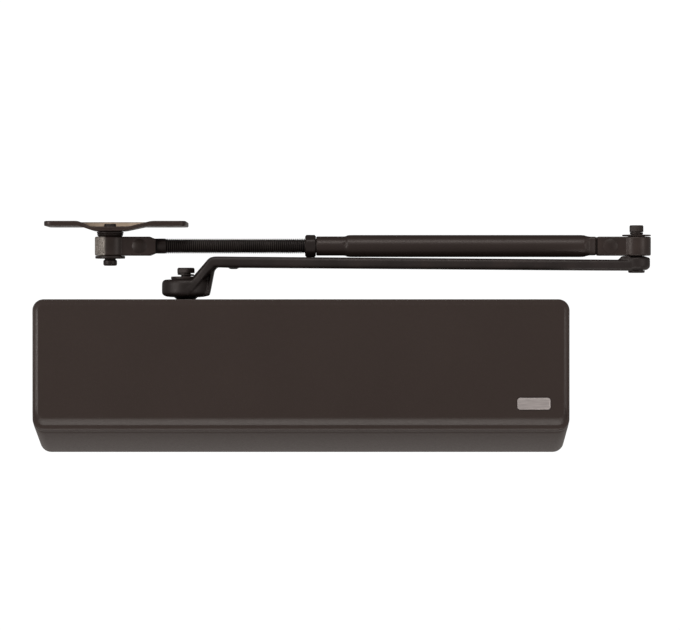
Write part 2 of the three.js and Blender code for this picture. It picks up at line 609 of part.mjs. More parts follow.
function shoeStud() {
  const s = STUD;
  const holeTop = PLATE.dishBottom + (PLATE.top - PLATE.bottom);
  return turnedZ(SHOE_X, [
    [0, s.tipBottom], [s.tipR - 1, s.tipBottom], [s.tipR, s.tipBottom + 1], [s.tipR, SHOE.washerBottom - 1.2],
    [s.tipNeckR, SHOE.washerBottom - 0.6], [s.tipNeckR, STRAP.bottom - 0.1], [SHOE.pinR, STRAP.bottom - 0.1],
    [SHOE.pinR, s.flangeBottom], [s.flangeR - 0.5, s.flangeBottom], [s.flangeR, s.flangeBottom + 0.8],
    [s.flangeR, s.flangeTop - 0.8], [s.flangeR - 0.5, s.flangeTop], [s.headR - 0.9, s.flangeTop],
    [s.headR - 0.9, holeTop + REST], [s.headR, holeTop + REST], [s.headR - 0.6, holeTop + 0.8],
    [0, holeTop + 0.9],
  ], 20);
}

function shoePlate() {
  const p = PLATE;
  const thick = p.top - p.bottom;
  const dishTop = p.dishBottom + thick;
  const [a, b, c, d] = p.dish;
  const section = polygon([
    [p.left, p.bottom], [a, p.bottom], [b, p.dishBottom], [c, p.dishBottom], [d, p.bottom],
    [p.right, p.bottom],
    [p.right, p.top], [d, p.top], [c, dishTop], [b, dishTop], [a, p.top], [p.left, p.top],
  ]);
  const flat = polygon([[p.left, p.bottom], [p.right, p.bottom], [p.right, p.top], [p.left, p.top]]);
  const outline = roundedRect(p.left, p.right, p.near, p.far, 5);
  const blank = join(carryY(section, p.near, p.dishFar), carryY(flat, p.dishFar, p.far));
  const holes = p.holeX.flatMap((x) => p.holeY.map((y) => [x, y]));
  const pin = new THREE.CylinderGeometry(p.holeR, p.holeR, 20, 14).rotateX(Math.PI / 2);
  const drill = ([x, y]) => solid(pin.clone().translate(x, y, p.top));
  const studHole = pinZ(SHOE_X, STUD.headR - 0.9 + REST, p.dishBottom - 1, p.top + 1, 16);
  return cut(common(blank, raise(outline, p.dishBottom - 1, p.top + 1)), studHole, ...holes.map(drill));
}

// ---- assembly ----

add('cover', cover(), bronzePaint);
add('badge_plate', badge(), badgeGrey);

add('body_casting', bodyCasting(), castAluminium);
add('upper_bearing', spindleBearing(1), turnedSteel);
add('lower_bearing', spindleBearing(-1), turnedSteel);
add('spindle_seal_nut', spindleSealNut(), turnedSteel);
add('lower_spindle_cap', lowerSpindleCap(), turnedSteel);
add('left_end_plug', endPlug(-1), turnedSteel);
add('right_end_plug', endPlug(1), turnedSteel);
add('left_plug_seal', seal(PLUG.sealFromFace - BODY.half), rubber);
add('right_plug_seal', seal(BODY.half - PLUG.sealFromFace), rubber);
add('outer_spring', spring(15, 2, 10, 9, 5), springSteel);
add('inner_spring', spring(10.2, 1.3, 13, 8, 4), springSteel);
add('cover_clip_left', coverClip(-CLIP.x), springSteel);
add('cover_clip_right', coverClip(CLIP.x), springSteel);
add('power_adjuster', powerAdjuster(), turnedSteel);
add('spring_seat', springSeat(), turnedSteel);
for (const [name, x] of VALVES) add(name, valve(x), brass);

add('piston', piston(), turnedSteel);
add('piston_seal', seal(PISTON.sealX), rubber);
add('check_valve', checkValve(), brass);

add('pinion_spindle', pinionSpindle(), turnedSteel);
add('main_arm', mainArm(), bronzePaint);
add('arm_washer', washer(SPINDLE_X, ARM_SCREW.r + FIT, PLATE_WASHER), bronzePaint);
add('arm_lock_washer', lockWasher(SPINDLE_X, ARM_SCREW.r + FIT, ARM_LOCK_WASHER), bronzePaint);
add('arm_screw', hexScrew(SPINDLE_X, ARM_SCREW, -1.25), bronzePaint);
add('elbow_stud', elbowStud(), bronzePaint);
add('elbow_washer', washer(ELBOW_X, ELBOW_BOLT.r + FIT, ELBOW_WASHER), bronzePaint);
add('elbow_lock_washer', lockWasher(ELBOW_X, ELBOW_BOLT.r + FIT, ELBOW_LOCK_WASHER), bronzePaint);
add('elbow_bolt', hexScrew(ELBOW_X, ELBOW_BOLT, 0.3), bronzePaint);

const elbowStrap = strap(ELBOW_X, ELBOW.ringR, ELBOW.pinR, ELBOW.legEndX, ELBOW.rivetX, -1, 0.6);
add('elbow_strap', elbowStrap, bronzePaint);
add('elbow_rivet', rivet(ELBOW.rivetX), bronzePaint);
add('forearm_tube', forearmTube(), bronzePaint);
add('lock_nut', lockNut(), bronzePaint);
add('adjusting_rod', adjustingRod(), bronzePaint);
add('shoe_strap', strap(SHOE_X, SHOE.ringR, SHOE.pinR, SHOE.legEndX, SHOE.rivetX, 1, 2.6), bronzePaint);
add('shoe_rivet', rivet(SHOE.rivetX), bronzePaint);
add('shoe_stud', shoeStud(), bronzePaint);
const studWasher = { r: SHOE.washerR, bottom: SHOE.washerBottom, top: SHOE.washerTop };
add('stud_washer', washer(SHOE_X, STUD.tipNeckR + REST, studWasher), bronzePaint);
add('shoe_plate', shoePlate(), bronzePaint);

export default group;
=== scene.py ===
import json
import math

import bpy
import numpy as np
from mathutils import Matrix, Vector


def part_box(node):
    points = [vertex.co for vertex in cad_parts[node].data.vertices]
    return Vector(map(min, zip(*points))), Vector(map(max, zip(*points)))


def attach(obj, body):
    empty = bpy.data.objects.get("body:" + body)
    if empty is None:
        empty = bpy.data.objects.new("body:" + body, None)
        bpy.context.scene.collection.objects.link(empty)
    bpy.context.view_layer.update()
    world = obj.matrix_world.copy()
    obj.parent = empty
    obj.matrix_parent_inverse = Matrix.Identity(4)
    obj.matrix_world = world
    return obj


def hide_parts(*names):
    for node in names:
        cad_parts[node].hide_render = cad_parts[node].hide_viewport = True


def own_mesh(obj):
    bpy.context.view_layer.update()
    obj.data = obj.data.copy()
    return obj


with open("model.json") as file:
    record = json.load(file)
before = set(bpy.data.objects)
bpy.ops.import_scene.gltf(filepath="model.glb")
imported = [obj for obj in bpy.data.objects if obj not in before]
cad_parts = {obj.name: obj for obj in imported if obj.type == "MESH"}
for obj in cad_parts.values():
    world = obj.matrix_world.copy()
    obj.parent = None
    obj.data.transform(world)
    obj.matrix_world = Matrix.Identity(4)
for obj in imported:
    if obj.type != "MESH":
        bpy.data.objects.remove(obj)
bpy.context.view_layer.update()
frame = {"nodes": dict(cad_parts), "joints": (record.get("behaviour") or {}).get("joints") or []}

MM = 0.001

# ---- places and sizes, in millimetres, taken from the frame's own boxes ----


def node_box(node):
    """Lowest and highest corner of a CAD node in millimetres."""
    low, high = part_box(node)
    return np.array(low) / MM, np.array(high) / MM


def joint_place(name):
    """The point on a hinge's axis in millimetres."""
    joint = next(j for j in frame["joints"] if j["name"] == name)
    return np.array(joint["pos_m"]) / MM


SPINDLE = joint_place("main_arm_swing")
ELBOW = joint_place("elbow_swing")
ELBOW_RIVET = joint_place("elbow_tilt")
SHOE = joint_place("shoe_swing")
SHOE_RIVET = joint_place("shoe_tilt")
NUT = joint_place("lock_nut_turn")
ARM_Y = SPINDLE[1]
THREAD_START = -82.3
DISH_WALL_FRONT, DISH_WALL_BACK = -21.5, -17.5

# ---- surfaces from arrays ----


def ring_faces(rows, columns, close_rows=False):
    """Quads of a grid whose columns run round a closed loop; close_rows joins the last row to the first."""
    last = rows if close_rows else rows - 1
    i, j = np.meshgrid(np.arange(last), np.arange(columns), indexing="ij")
    a, b = i * columns + j, i * columns + (j + 1) % columns
    c, d = ((i + 1) % rows) * columns + (j + 1) % columns, ((i + 1) % rows) * columns + j
    return np.stack([a, b, c, d], -1).reshape(-1, 4).tolist()


def skin(grid, close_rows=False):
    """Points and faces of a closed skin over a grid of loops; open ends get one flat cap each."""
    rows, columns = grid.shape[:2]
    faces = ring_faces(rows, columns, close_rows)
    if not close_rows:
        faces.append(list(range(columns))[::-1])
        faces.append([(rows - 1) * columns + j for j in range(columns)])
    return grid.reshape(-1, 3), faces


def signed_volume(points, faces):
    """Six times the volume inside the faces: positive when they point outwards."""
    fans = np.array([(face[0], *pair) for face in faces for pair in zip(face[1:-1], face[2:])])
    first, second, third = points[fans].transpose(1, 0, 2)
    return np.sum(first * np.cross(second, third))


def shaded(mesh, sharp):
    """Smooth shading with the edges over sharp degrees left sharp."""
    mesh.shade_smooth()
    mesh.set_sharp_from_angle(angle=math.radians(sharp))
    return mesh


def mesh_of(name, shells, sharp=32):
    """One mesh from closed shells of millimetre points, each turned outwards."""
    points, faces, start = [], [], 0
    for shell_points, shell_faces in shells:
        if signed_volume(shell_points - shell_points.mean(0), shell_faces) < 0:
            shell_faces = [face[::-1] for face in shell_faces]
        points.append(shell_points)
        faces += [[start + k for k in face] for face in shell_faces]
        start += len(shell_points)
    mesh = bpy.data.meshes.new(name)
    mesh.from_pydata((np.concatenate(points) * MM).tolist(), [], faces)
    return shaded(mesh, sharp)


def place(name, mesh, body, material, slot, *replaced):
    """Puts a finished mesh in the scene as a piece that rides on a body and stands for CAD nodes."""
    piece = bpy.data.objects.new(name, mesh)
    bpy.context.scene.collection.objects.link(piece)
    mesh.materials.clear()
    mesh.materials.append(material)
    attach(piece, body)
    if replaced:
        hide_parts(*replaced)
    return piece


def rounded(points, radii, steps=5):
    """A polyline with its corners cut by quadratic arcs, each starting a radius away from its corner."""
    points = np.asarray(points, float)
    radii = np.broadcast_to(np.asarray(radii, float), (len(points),))
    out = [points[0]]
    t = np.linspace(0, 1, steps + 1)[:, None]
    for before, corner, after, radius in zip(points[:-2], points[1:-1], points[2:], radii[1:-1]):
        if radius <= 0:
            out.append(corner)
            continue
        reach_in = min(radius, 0.49 * np.linalg.norm(corner - before))
        reach_out = min(radius, 0.49 * np.linalg.norm(after - corner))
        start = corner + (before - corner) / np.linalg.norm(before - corner) * reach_in
        end = corner + (after - corner) / np.linalg.norm(after - corner) * reach_out
        out.extend((1 - t) ** 2 * start + 2 * t * (1 - t) * corner + t**2 * end)
    out.append(points[-1])
    return np.array(out)


AXES = {"x": (1, 2, 0), "y": (2, 0, 1), "z": (0, 1, 2)}


def turned(profile, centre, axis="z", sides=48, ring=False):
    """Surface of revolution: each (radius, height) of the profile goes round the axis through centre."""
    profile = np.asarray(profile, float)
    angle = np.arange(sides) * 2 * np.pi / sides
    first, second, along = AXES[axis]
    grid = np.zeros((len(profile), sides, 3))
    grid[..., first] = centre[first] + profile[:, :1] * np.cos(angle)
    grid[..., second] = centre[second] + profile[:, :1] * np.sin(angle)
    grid[..., along] = profile[:, 1:2]
    return skin(grid, close_rows=ring)


def washer_profile(inner, outer, low, high, edge):
    """Closed profile of a flat ring with its four edges rounded."""
    middle = (inner, (low + high) / 2)
    return rounded([middle, (inner, low), (outer, low), (outer, high), (inner, high), middle], edge, 3)[:-1]


HEX_POINTS = 144
CORNER_SOFTNESS = 6.0  # a higher number makes crisper corners


def hexagon_head(centre, flats, low, high, turn, axis="z", chamfer=0.12, both=False, corner_share=1.125):
    """A hexagon's radius at each angle, rounded at its corners and cut at the ends by a cone.

    Flat sides lie at (flats / 2) / cos(angle from the side's middle). A soft minimum with the corner radius
    rounds the corners. The cone's radius grows from 0.93 to 1.16 of flats / 2 as it drops by flats * chamfer.
    """
    corner = flats / 2 * corner_share
    angle = np.arange(HEX_POINTS) * 2 * np.pi / HEX_POINTS
    folded = (angle - turn + np.pi / 6) % (np.pi / 3) - np.pi / 6
    flat = flats / 2 / np.cos(folded)
    hexagon = -np.log(np.exp(-CORNER_SOFTNESS * flat) + np.exp(-CORNER_SOFTNESS * corner)) / CORNER_SOFTNESS
    drop = flats * chamfer
    t = np.linspace(0, 1, 9)
    cone_r = flats / 2 * (0.93 + 0.23 * t)
    cone_z = drop * t
    if both:
        heights = np.concatenate([high - cone_z, (low + cone_z)[::-1]])
        limits = np.concatenate([cone_r, cone_r[::-1]])
    else:
        heights = np.concatenate([high - cone_z, [low + 0.25, low]])
        limits = np.concatenate([cone_r, [np.inf, np.inf]])
    radius = np.minimum(hexagon[None, :], limits[:, None])
    if not both:
        radius[-1] -= 0.2
    first, second, along = AXES[axis]
    grid = np.zeros((len(heights), HEX_POINTS, 3))
    grid[..., first] = centre[first] + radius * np.cos(angle)
    grid[..., second] = centre[second] + radius * np.sin(angle)
    grid[..., along] = heights[:, None]
    return skin(grid)


def rounded_rectangle(half_width, half_height, radius, steps=5):
    """Points of a rectangle with quarter-circle corners, anticlockwise from its right side."""
    quarter = np.linspace(0, np.pi / 2, steps + 1)
    out = []
    for turn, (sx, sy) in enumerate([(1, 1), (-1, 1), (-1, -1), (1, -1)]):
        angle = quarter + turn * np.pi / 2
        x = sx * (half_width - radius) + radius * np.cos(angle)
        y = sy * (half_height - radius) + radius * np.sin(angle)
        out.append(np.stack([x, y], -1))
    return np.concatenate(out)


def smooth_path(points, step, passes):
    """Resamples a polyline at equal steps, then averages neighbouring points to round its corners."""
    points = np.asarray(points, float)
    length = np.concatenate([[0], np.cumsum(np.linalg.norm(np.diff(points, axis=0), axis=1))])
    count = max(int(length[-1] / step), 2)
    at = np.linspace(0, length[-1], count + 1)
    path = np.stack([np.interp(at, length, points[:, k]) for k in range(points.shape[1])], -1)
    for _ in range(passes):
        path[1:-1] = 0.25 * path[:-2] + 0.5 * path[1:-1] + 0.25 * path[2:]
    return path


def unit_steps(path):
    """The path's direction at each of its points."""
    run = np.gradient(path, axis=0)
    return run / np.linalg.norm(run, axis=1)[:, None]


def carried_in_xz(path, half_widths, half_thicks, radius):
    """A closed skin of rounded rectangles that stand square to a path in x and z, one at each point."""
    loops = []
    for (x, z), (dx, dz), wide, thick in zip(path, unit_steps(path), half_widths, half_thicks):
        section = rounded_rectangle(wide, thick, radius, 5)
        loops.append(np.stack([x - dz * section[:, 1], ARM_Y + section[:, 0], z + dx * section[:, 1]], -1))
    return skin(np.stack(loops))


def section_at(x, section):
    """A section in y and z set on the forearm's axis at x."""
    return np.stack([np.full(len(section), x), ARM_Y + section[:, 0], NUT[2] + section[:, 1]], -1)


def applied(piece, *modifiers):
    """Runs modifiers, each a kind and its settings, on an object and keeps the result as its mesh."""
    for kind, settings in modifiers:
        modifier = piece.modifiers.new(kind, kind)
        for key, value in settings.items():
            setattr(modifier, key, value)
    bpy.context.view_layer.update()
    depsgraph = bpy.context.evaluated_depsgraph_get()
    mesh = bpy.data.meshes.new_from_object(piece.evaluated_get(depsgraph))
    piece.modifiers.clear()
    piece.data = mesh
    return mesh


def helper(name, mesh):
    """An object that only helps to make a piece and is deleted afterwards."""
    thing = bpy.data.objects.new(name, mesh)
    bpy.context.scene.collection.objects.link(thing)
    return thing


def scratch(name, shells):
    """Such a helper, made from closed shells."""
    return helper(name, mesh_of(name, shells))


def drilled(thing, *tools):
    """Cuts tool shapes out of an object one after another."""
    for tool in tools:
        applied(thing, ("BOOLEAN", {"operation": "DIFFERENCE", "solver": "EXACT", "object": tool}))
        bpy.data.objects.remove(tool)
    return thing


def released(thing, sharp):
    """Takes the finished mesh off a helper object and deletes the object."""
    mesh = thing.data
    bpy.data.objects.remove(thing)
    return shaded(mesh, sharp)


def cylinder(centre, radius, low, high, axis="z", sides=64):
    """A plain cylinder shell, for a drill."""
    return turned([(radius, low), (radius, high)], centre, axis, sides)


RIVET_HOLE_R = 2.35


def rivet_drill(rivet):
    """A drill right across a knuckle at its rivet."""
    return scratch("rivet_drill", [cylinder(rivet, RIVET_HOLE_R, ARM_Y - 9, ARM_Y + 9, "y", 32)])


# ---- materials ----


def linear(hex_colour):
    """sRGB hex to linear RGBA."""
    channels = [int(hex_colour[k:k + 2], 16) / 255 for k in (1, 3, 5)]
    return tuple(c / 12.92 if c <= 0.04045 else ((c + 0.055) / 1.055) ** 2.4 for c in channels) + (1.0,)


def connect(tree, node, inputs):
    """Sets a node's inputs: each is a value, an output socket, or a node whose first output is linked."""
    for key, value in inputs.items():
        if isinstance(value, bpy.types.Node):
            value = value.outputs[0]
        if isinstance(value, bpy.types.NodeSocket):
            tree.links.new(value, node.inputs[key])
        else:
            node.inputs[key].default_value = value


def add(tree, kind, inputs=None, stops=(), **settings):
    """Adds a node with its settings and inputs; a ramp's stops are positions with a hex colour or a grey."""
    node = tree.nodes.new("ShaderNode" + kind)
    for key, value in settings.items():
        setattr(node, key, value)
    connect(tree, node, inputs or {})
    if stops:
        elements = node.color_ramp.elements
        for _ in stops[2:]:
            elements.new(0.5)
        for element, (position, value) in zip(elements, stops):
            element.position = position
            element.color = linear(value) if isinstance(value, str) else (value, value, value, 1)
    return node


def new_material(name, **constants):
    """A material with one shader, its constants set on its own sockets, and the object's coordinates."""
    material = bpy.data.materials.new(name)
    material.use_nodes = True
    tree = material.node_tree
    tree.nodes.clear()
    shader = add(tree, "BsdfPrincipled", {key.replace("_", " "): v for key, v in constants.items()})
    add(tree, "OutputMaterial", {"Surface": shader})
    return material, tree, shader, add(tree, "TexCoord").outputs["Object"]


def bronze_powder_coat():
    """Dark bronze polyester powder coat on the cover: an even satin film with fine orange peel."""
    material, tree, shader, where = new_material(
        "dark_bronze_powder_coat", Metallic=0.0, IOR=1.5, Specular_IOR_Level=0.5)
    cloud = add(tree, "TexNoise", {"Vector": where, "Scale": 1 / (60 * MM), "Detail": 2})
    peel = add(tree, "TexNoise", {"Vector": where, "Scale": 1 / (1.1 * MM), "Detail": 2})
    speck = add(tree, "TexNoise", {"Vector": where, "Scale": 1 / (0.35 * MM), "Detail": 1})
    film = add(tree, "ValToRGB", {"Fac": cloud}, [(0.3, "#2e231f"), (0.7, "#312622")])
    flecks = add(tree, "ValToRGB", {"Fac": speck}, [(0.62, 0.0), (0.72, 1.0)])
    share = add(tree, "Math", {0: flecks, 1: 0.16}, operation="MULTIPLY")
    colour = add(tree, "Mix", {0: share, 6: film, 7: linear("#6a5f5c")}, data_type="RGBA").outputs[2]
    gloss = add(tree, "ValToRGB", {"Fac": peel}, [(0.3, 0.36), (0.7, 0.44)])
    relief = add(tree, "Bump", {"Height": peel, "Distance": 0.03 * MM, "Strength": 0.5})
    relief = add(tree, "Bump", {"Height": speck, "Distance": 0.012 * MM, "Strength": 0.5, "Normal": relief})
    connect(tree, shader, {"Base Color": colour, "Roughness": gloss, "Normal": relief})
    return material


def bronze_arm_paint(name, forge_mm, forge_depth, colours, roughness=(0.34, 0.5), streak=(1, 1, 1)):
    """Dark bronze lacquer over steel: the metal's waviness shows, and handling has clouded the colour."""
    material, tree, shader, where = new_material(name, Metallic=0.15, IOR=1.5, Specular_IOR_Level=0.45)
    streaked = add(tree, "Mapping", {"Vector": where, "Scale": streak})
    cloud = add(tree, "TexNoise", {"Vector": streaked, "Scale": 1 / (14 * MM), "Detail": 4})
    forge = add(tree, "TexNoise", {"Vector": streaked, "Scale": 1 / (forge_mm * MM), "Detail": 3})
    fine = add(tree, "TexNoise", {"Vector": where, "Scale": 1 / (0.4 * MM), "Detail": 2})
    colour = add(tree, "ValToRGB", {"Fac": cloud}, list(zip((0.32, 0.52, 0.7), colours)))
    gloss = add(tree, "ValToRGB", {"Fac": fine}, list(zip((0.3, 0.75), roughness)))
    relief = add(tree, "Bump", {"Height": forge, "Distance": forge_depth * MM, "Strength": 0.6})
    relief = add(tree, "Bump", {"Height": fine, "Distance": 0.015 * MM, "Strength": 0.5, "Normal": relief})
    connect(tree, shader, {"Base Color": colour, "Roughness": gloss, "Normal": relief})
    return material, tree, shader, where, colour


def strap_painted_highlight():
    """The same lacquer with a painted highlight: the loop's outer end is coloured bright scratched steel
    where the left light glints.
    """
    material, tree, shader, where, painted = bronze_arm_paint(
        "bronze_lacquer_strap_painted_highlight", 3.0, 0.06, ("#332926", "#3b302d", "#443835"))
    upright = add(tree, "Mapping", {"Vector": where, "Scale": (1.0, 1.0, 0.5)})
    lines = add(tree, "TexNoise", {"Vector": upright, "Scale": 1 / (0.45 * MM), "Detail": 4})
    along = add(tree, "SeparateXYZ", {"Vector": where}).outputs["X"]
    edge = add(tree, "Math", {0: lines, 1: 3.0 * MM, 2: along}, operation="MULTIPLY_ADD")
    start, end = (SHOE[0] - 0.6) * MM, (SHOE[0] - 1.6) * MM
    # painted highlight: a bright scratched-steel colour on the loop's outer end stands in for the left
    # light's glint there
    painted_highlight_share = add(tree, "MapRange", {"Value": edge, "From Min": start, "From Max": end})
    metal = add(tree, "ValToRGB", {"Fac": lines}, [(0.36, "#57524d"), (0.5, "#918b84"), (0.62, "#c6c0b9")])
    colour = add(tree, "Mix", {0: painted_highlight_share, 6: painted, 7: metal}, data_type="RGBA").outputs[2]
    gloss = add(tree, "Math", {0: painted_highlight_share, 1: 0.12, 2: 0.42}, operation="MULTIPLY_ADD")
    connect(tree, shader, {"Base Color": colour, "Roughness": gloss})
    return material


def plate_paint():
    """Dark bronze lacquer with a pale tan pool of painted light on the inner side of the dish's far wall.

    The painted light's share is a product of bands over the wall's place and facing, and it grows to the
    right.
    """
    material, tree, shader, where, painted = bronze_arm_paint(
        "bronze_lacquer_plate", 6.0, 0.08, ("#2c211e", "#322622", "#3a2e2a"))
    at = add(tree, "SeparateXYZ", {"Vector": where})
    facing = add(tree, "SeparateXYZ", {"Vector": add(tree, "TexCoord").outputs["Normal"]})
    plate_top = node_box("shoe_plate")[1][2]
    start, end = (SHOE[0] - 20.6) * MM, (SHOE[0] - 1.6) * MM
    across = add(tree, "MapRange", {"Value": at.outputs["X"], "From Min": start, "From Max": end})
    painted_light_share = add(tree, "Math", {0: across, 1: 0.55, 2: 0.45}, operation="MULTIPLY_ADD")
    for value, start, end in (
        (at.outputs["Y"], (DISH_WALL_FRONT - 1.5) * MM, (DISH_WALL_FRONT - 0.5) * MM),
        (at.outputs["Z"], (plate_top - 0.05) * MM, (plate_top - 0.25) * MM),
        (facing.outputs["Z"], 0.0, 0.1),
    ):
        band = add(tree, "MapRange", {"Value": value, "From Min": start, "From Max": end})
        painted_light_share = add(tree, "Math", {0: painted_light_share, 1: band}, operation="MULTIPLY")
    # painted light: a pale tan colour where the dish's far wall faces up, stronger to the right, in place of
    # light falling on it
    cloud = add(tree, "TexNoise", {"Vector": where, "Scale": 1 / (4 * MM), "Detail": 3})
    painted_light_colour = add(tree, "ValToRGB", {"Fac": cloud}, [(0.3, "#b7a48f"), (0.7, "#c9b8a5")])
    colour = add(tree, "Mix", {0: painted_light_share, 6: painted, 7: painted_light_colour}, data_type="RGBA").outputs[2]
    connect(tree, shader, {"Base Color": colour})
    return material


def thread_paint():
    """Lacquer on a cut thread with painted shade: near-black in the roots, the lacquer's own colour on the
    crests.
    """
    material, tree, shader, where, painted = bronze_arm_paint(
        "bronze_lacquer_thread", 1.0, 0.02, ("#201917", "#2a2220", "#38302d"), (0.36, 0.5))
    at = add(tree, "SeparateXYZ", {"Vector": where})
    squares = {}
    for number, (axis, middle) in enumerate((("Y", ARM_Y), ("Z", NUT[2]))):
        offset = add(tree, "Math", {0: at.outputs[axis], 1: middle * MM}, operation="SUBTRACT")
        squares[number] = add(tree, "Math", {0: offset, 1: 2.0}, operation="POWER")
    radius = add(tree, "Math", {0: add(tree, "Math", squares, operation="ADD")}, operation="SQRT")
    low, high = node_box("adjusting_rod")
    outer = (high[1] - low[1]) / 2
    start, end = (outer - 0.65) * MM, (outer - 0.1) * MM
    crest = add(tree, "MapRange", {"Value": radius, "From Min": start, "From Max": end})
    start, end = (THREAD_START + 0.4) * MM, THREAD_START * MM
    plain = add(tree, "MapRange", {"Value": at.outputs["X"], "From Min": start, "From Max": end})
    crest = add(tree, "Math", {0: crest, 1: plain}, operation="MAXIMUM")
    # painted shade: the thread roots are coloured near-black in place of the shade that falls in them
    colour = add(tree, "Mix", {0: crest, 6: linear("#060404"), 7: painted}, data_type="RGBA").outputs[2]
    gloss = add(tree, "Math", {0: crest, 1: -0.4, 2: 0.85}, operation="MULTIPLY_ADD")
    connect(tree, shader, {"Base Color": colour, "Roughness": gloss})
    return material


def satin_badge():
    """Silver-grey anodised aluminium label, blank, with faint brushing along its length."""
    material, tree, shader, where = new_material("silver_anodised_badge", Metallic=0.6, Roughness=0.42)
    along = add(tree, "Mapping", {"Vector": where, "Scale": (0.08, 1.0, 1.0)})
    brushed = add(tree, "TexNoise", {"Vector": along, "Scale": 1 / (0.5 * MM), "Detail": 3})
    colour = add(tree, "ValToRGB", {"Fac": brushed}, [(0.3, "#b3adad"), (0.7, "#c8c2c1")])
    relief = add(tree, "Bump", {"Height": brushed, "Distance": 0.02 * MM, "Strength": 0.4})
    connect(tree, shader, {"Base Color": colour, "Normal": relief})
    return material


def cast_aluminium():
    """Die-cast aluminium: dull, slightly cloudy grey with a fine grainy skin."""
    material, tree, shader, where = new_material("cast_aluminium", Metallic=0.85)
    cloud = add(tree, "TexNoise", {"Vector": where, "Scale": 1 / (18 * MM), "Detail": 4})
    grain = add(tree, "TexNoise", {"Vector": where, "Scale": 1 / (0.6 * MM), "Detail": 3})
    colour = add(tree, "ValToRGB", {"Fac": cloud}, [(0.3, "#8f9193"), (0.7, "#a9abad")])
    gloss = add(tree, "ValToRGB", {"Fac": grain}, [(0.3, 0.45), (0.7, 0.62)])
    relief = add(tree, "Bump", {"Height": grain, "Distance": 0.06 * MM, "Strength": 0.6})
    relief = add(tree, "Bump", {"Height": cloud, "Distance": 0.1 * MM, "Strength": 0.2, "Normal": relief})
    connect(tree, shader, {"Base Color": colour, "Roughness": gloss, "Normal": relief})
    return material


def turned_steel(name, dark, light, roughness=0.3):
    """Turned and oiled steel: fine tool lines and a slightly uneven oil film."""
    material, tree, shader, where = new_material(name, Metallic=1.0)
    upright = add(tree, "Mapping", {"Vector": where, "Scale": (1.0, 1.0, 6.0)})
    lines = add(tree, "TexNoise", {"Vector": upright, "Scale": 1 / (0.35 * MM), "Detail": 2})
    film = add(tree, "TexNoise", {"Vector": where, "Scale": 1 / (6 * MM), "Detail": 3})
    colour = add(tree, "ValToRGB", {"Fac": film}, [(0.3, dark), (0.7, light)])
    gloss = add(tree, "ValToRGB", {"Fac": lines}, [(0.3, roughness - 0.06), (0.7, roughness + 0.1)])
    relief = add(tree, "Bump", {"Height": lines, "Distance": 0.012 * MM, "Strength": 0.5})
    connect(tree, shader, {"Base Color": colour, "Roughness": gloss, "Normal": relief})
    return material


def moulded_rubber():
    """Nitrile rubber seals: matt black with a faint bloom."""
    material, tree, shader, where = new_material("nitrile_rubber", Metallic=0.0, IOR=1.52)
    bloom = add(tree, "TexNoise", {"Vector": where, "Scale": 1 / (2 * MM), "Detail": 3})
    colour = add(tree, "ValToRGB", {"Fac": bloom}, [(0.3, "#101010"), (0.7, "#1d1d1c")])
    gloss = add(tree, "ValToRGB", {"Fac": bloom}, [(0.3, 0.6), (0.7, 0.75)])
    relief = add(tree, "Bump", {"Height": bloom, "Distance": 0.02 * MM, "Strength": 0.3})
    connect(tree, shader, {"Base Color": colour, "Roughness": gloss, "Normal": relief})
    return material


COVER_PAINT = bronze_powder_coat()
FORGED_PAINT = bronze_arm_paint(
    "bronze_lacquer_forged", 5.0, 0.2, ("#1f1816", "#282120", "#302725"), (0.44, 0.58))[0]
STRIP_PAINT = bronze_arm_paint("bronze_lacquer_strip", 3.0, 0.06, ("#2a211e", "#322825", "#3a302c"))[0]
TUBE_PAINT = bronze_arm_paint(
    "bronze_lacquer_tube", 1.2, 0.02, ("#2f2522", "#342a27", "#3a302c"), (0.4, 0.48), (0.12, 1, 1))[0]
THREAD_PAINT = thread_paint()
SCREW_PAINT = bronze_arm_paint(
    "black_oxide_screws", 1.5, 0.03, ("#211917", "#2a211f", "#352b28"), (0.42, 0.54))[0]
PLATE_PAINT = plate_paint()
STRAP_PAINTED_HIGHLIGHT = strap_painted_highlight()
BADGE_METAL = satin_badge()
CASTING = cast_aluminium()
STEEL = turned_steel("turned_steel", "#77797b", "#8f9193")
SPRING_STEEL = turned_steel("oil_hardened_spring_wire", "#3a3a3d", "#4c4c50", 0.35)
BRASS = turned_steel("turned_brass", "#9c7a3c", "#b8964f", 0.28)
RUBBER = moulded_rubber()

# ---- cover ----

COVER_WALL = 2.0
COVER_RIM = 3.5  # depth of the rounded rim behind the face
COVER_CORNER = 6.8
RIM_FALL = 0.85  # how far the bevel falls back, and how far in from the side it ends
RIM_ROLL = 1.9
BEVEL_START = 3.35
TOP_FLATTEN = 0.62
FRONT_ZONE = 9.0  # depth behind which the loops are plain
SIDE_REACH = 11.0  # height over which the sides pass into the top's and the bottom's shape
CORNER_STEPS = 8
FRONT_BOTTOM = -38.9
SLOPE = 15.6 / 57.0
NOTCH_HALF = 9.0


def eased(share):
    """Smooth step from 0 to 1."""
    share = np.clip(share, 0, 1)
    return share * share * (3 - 2 * share)


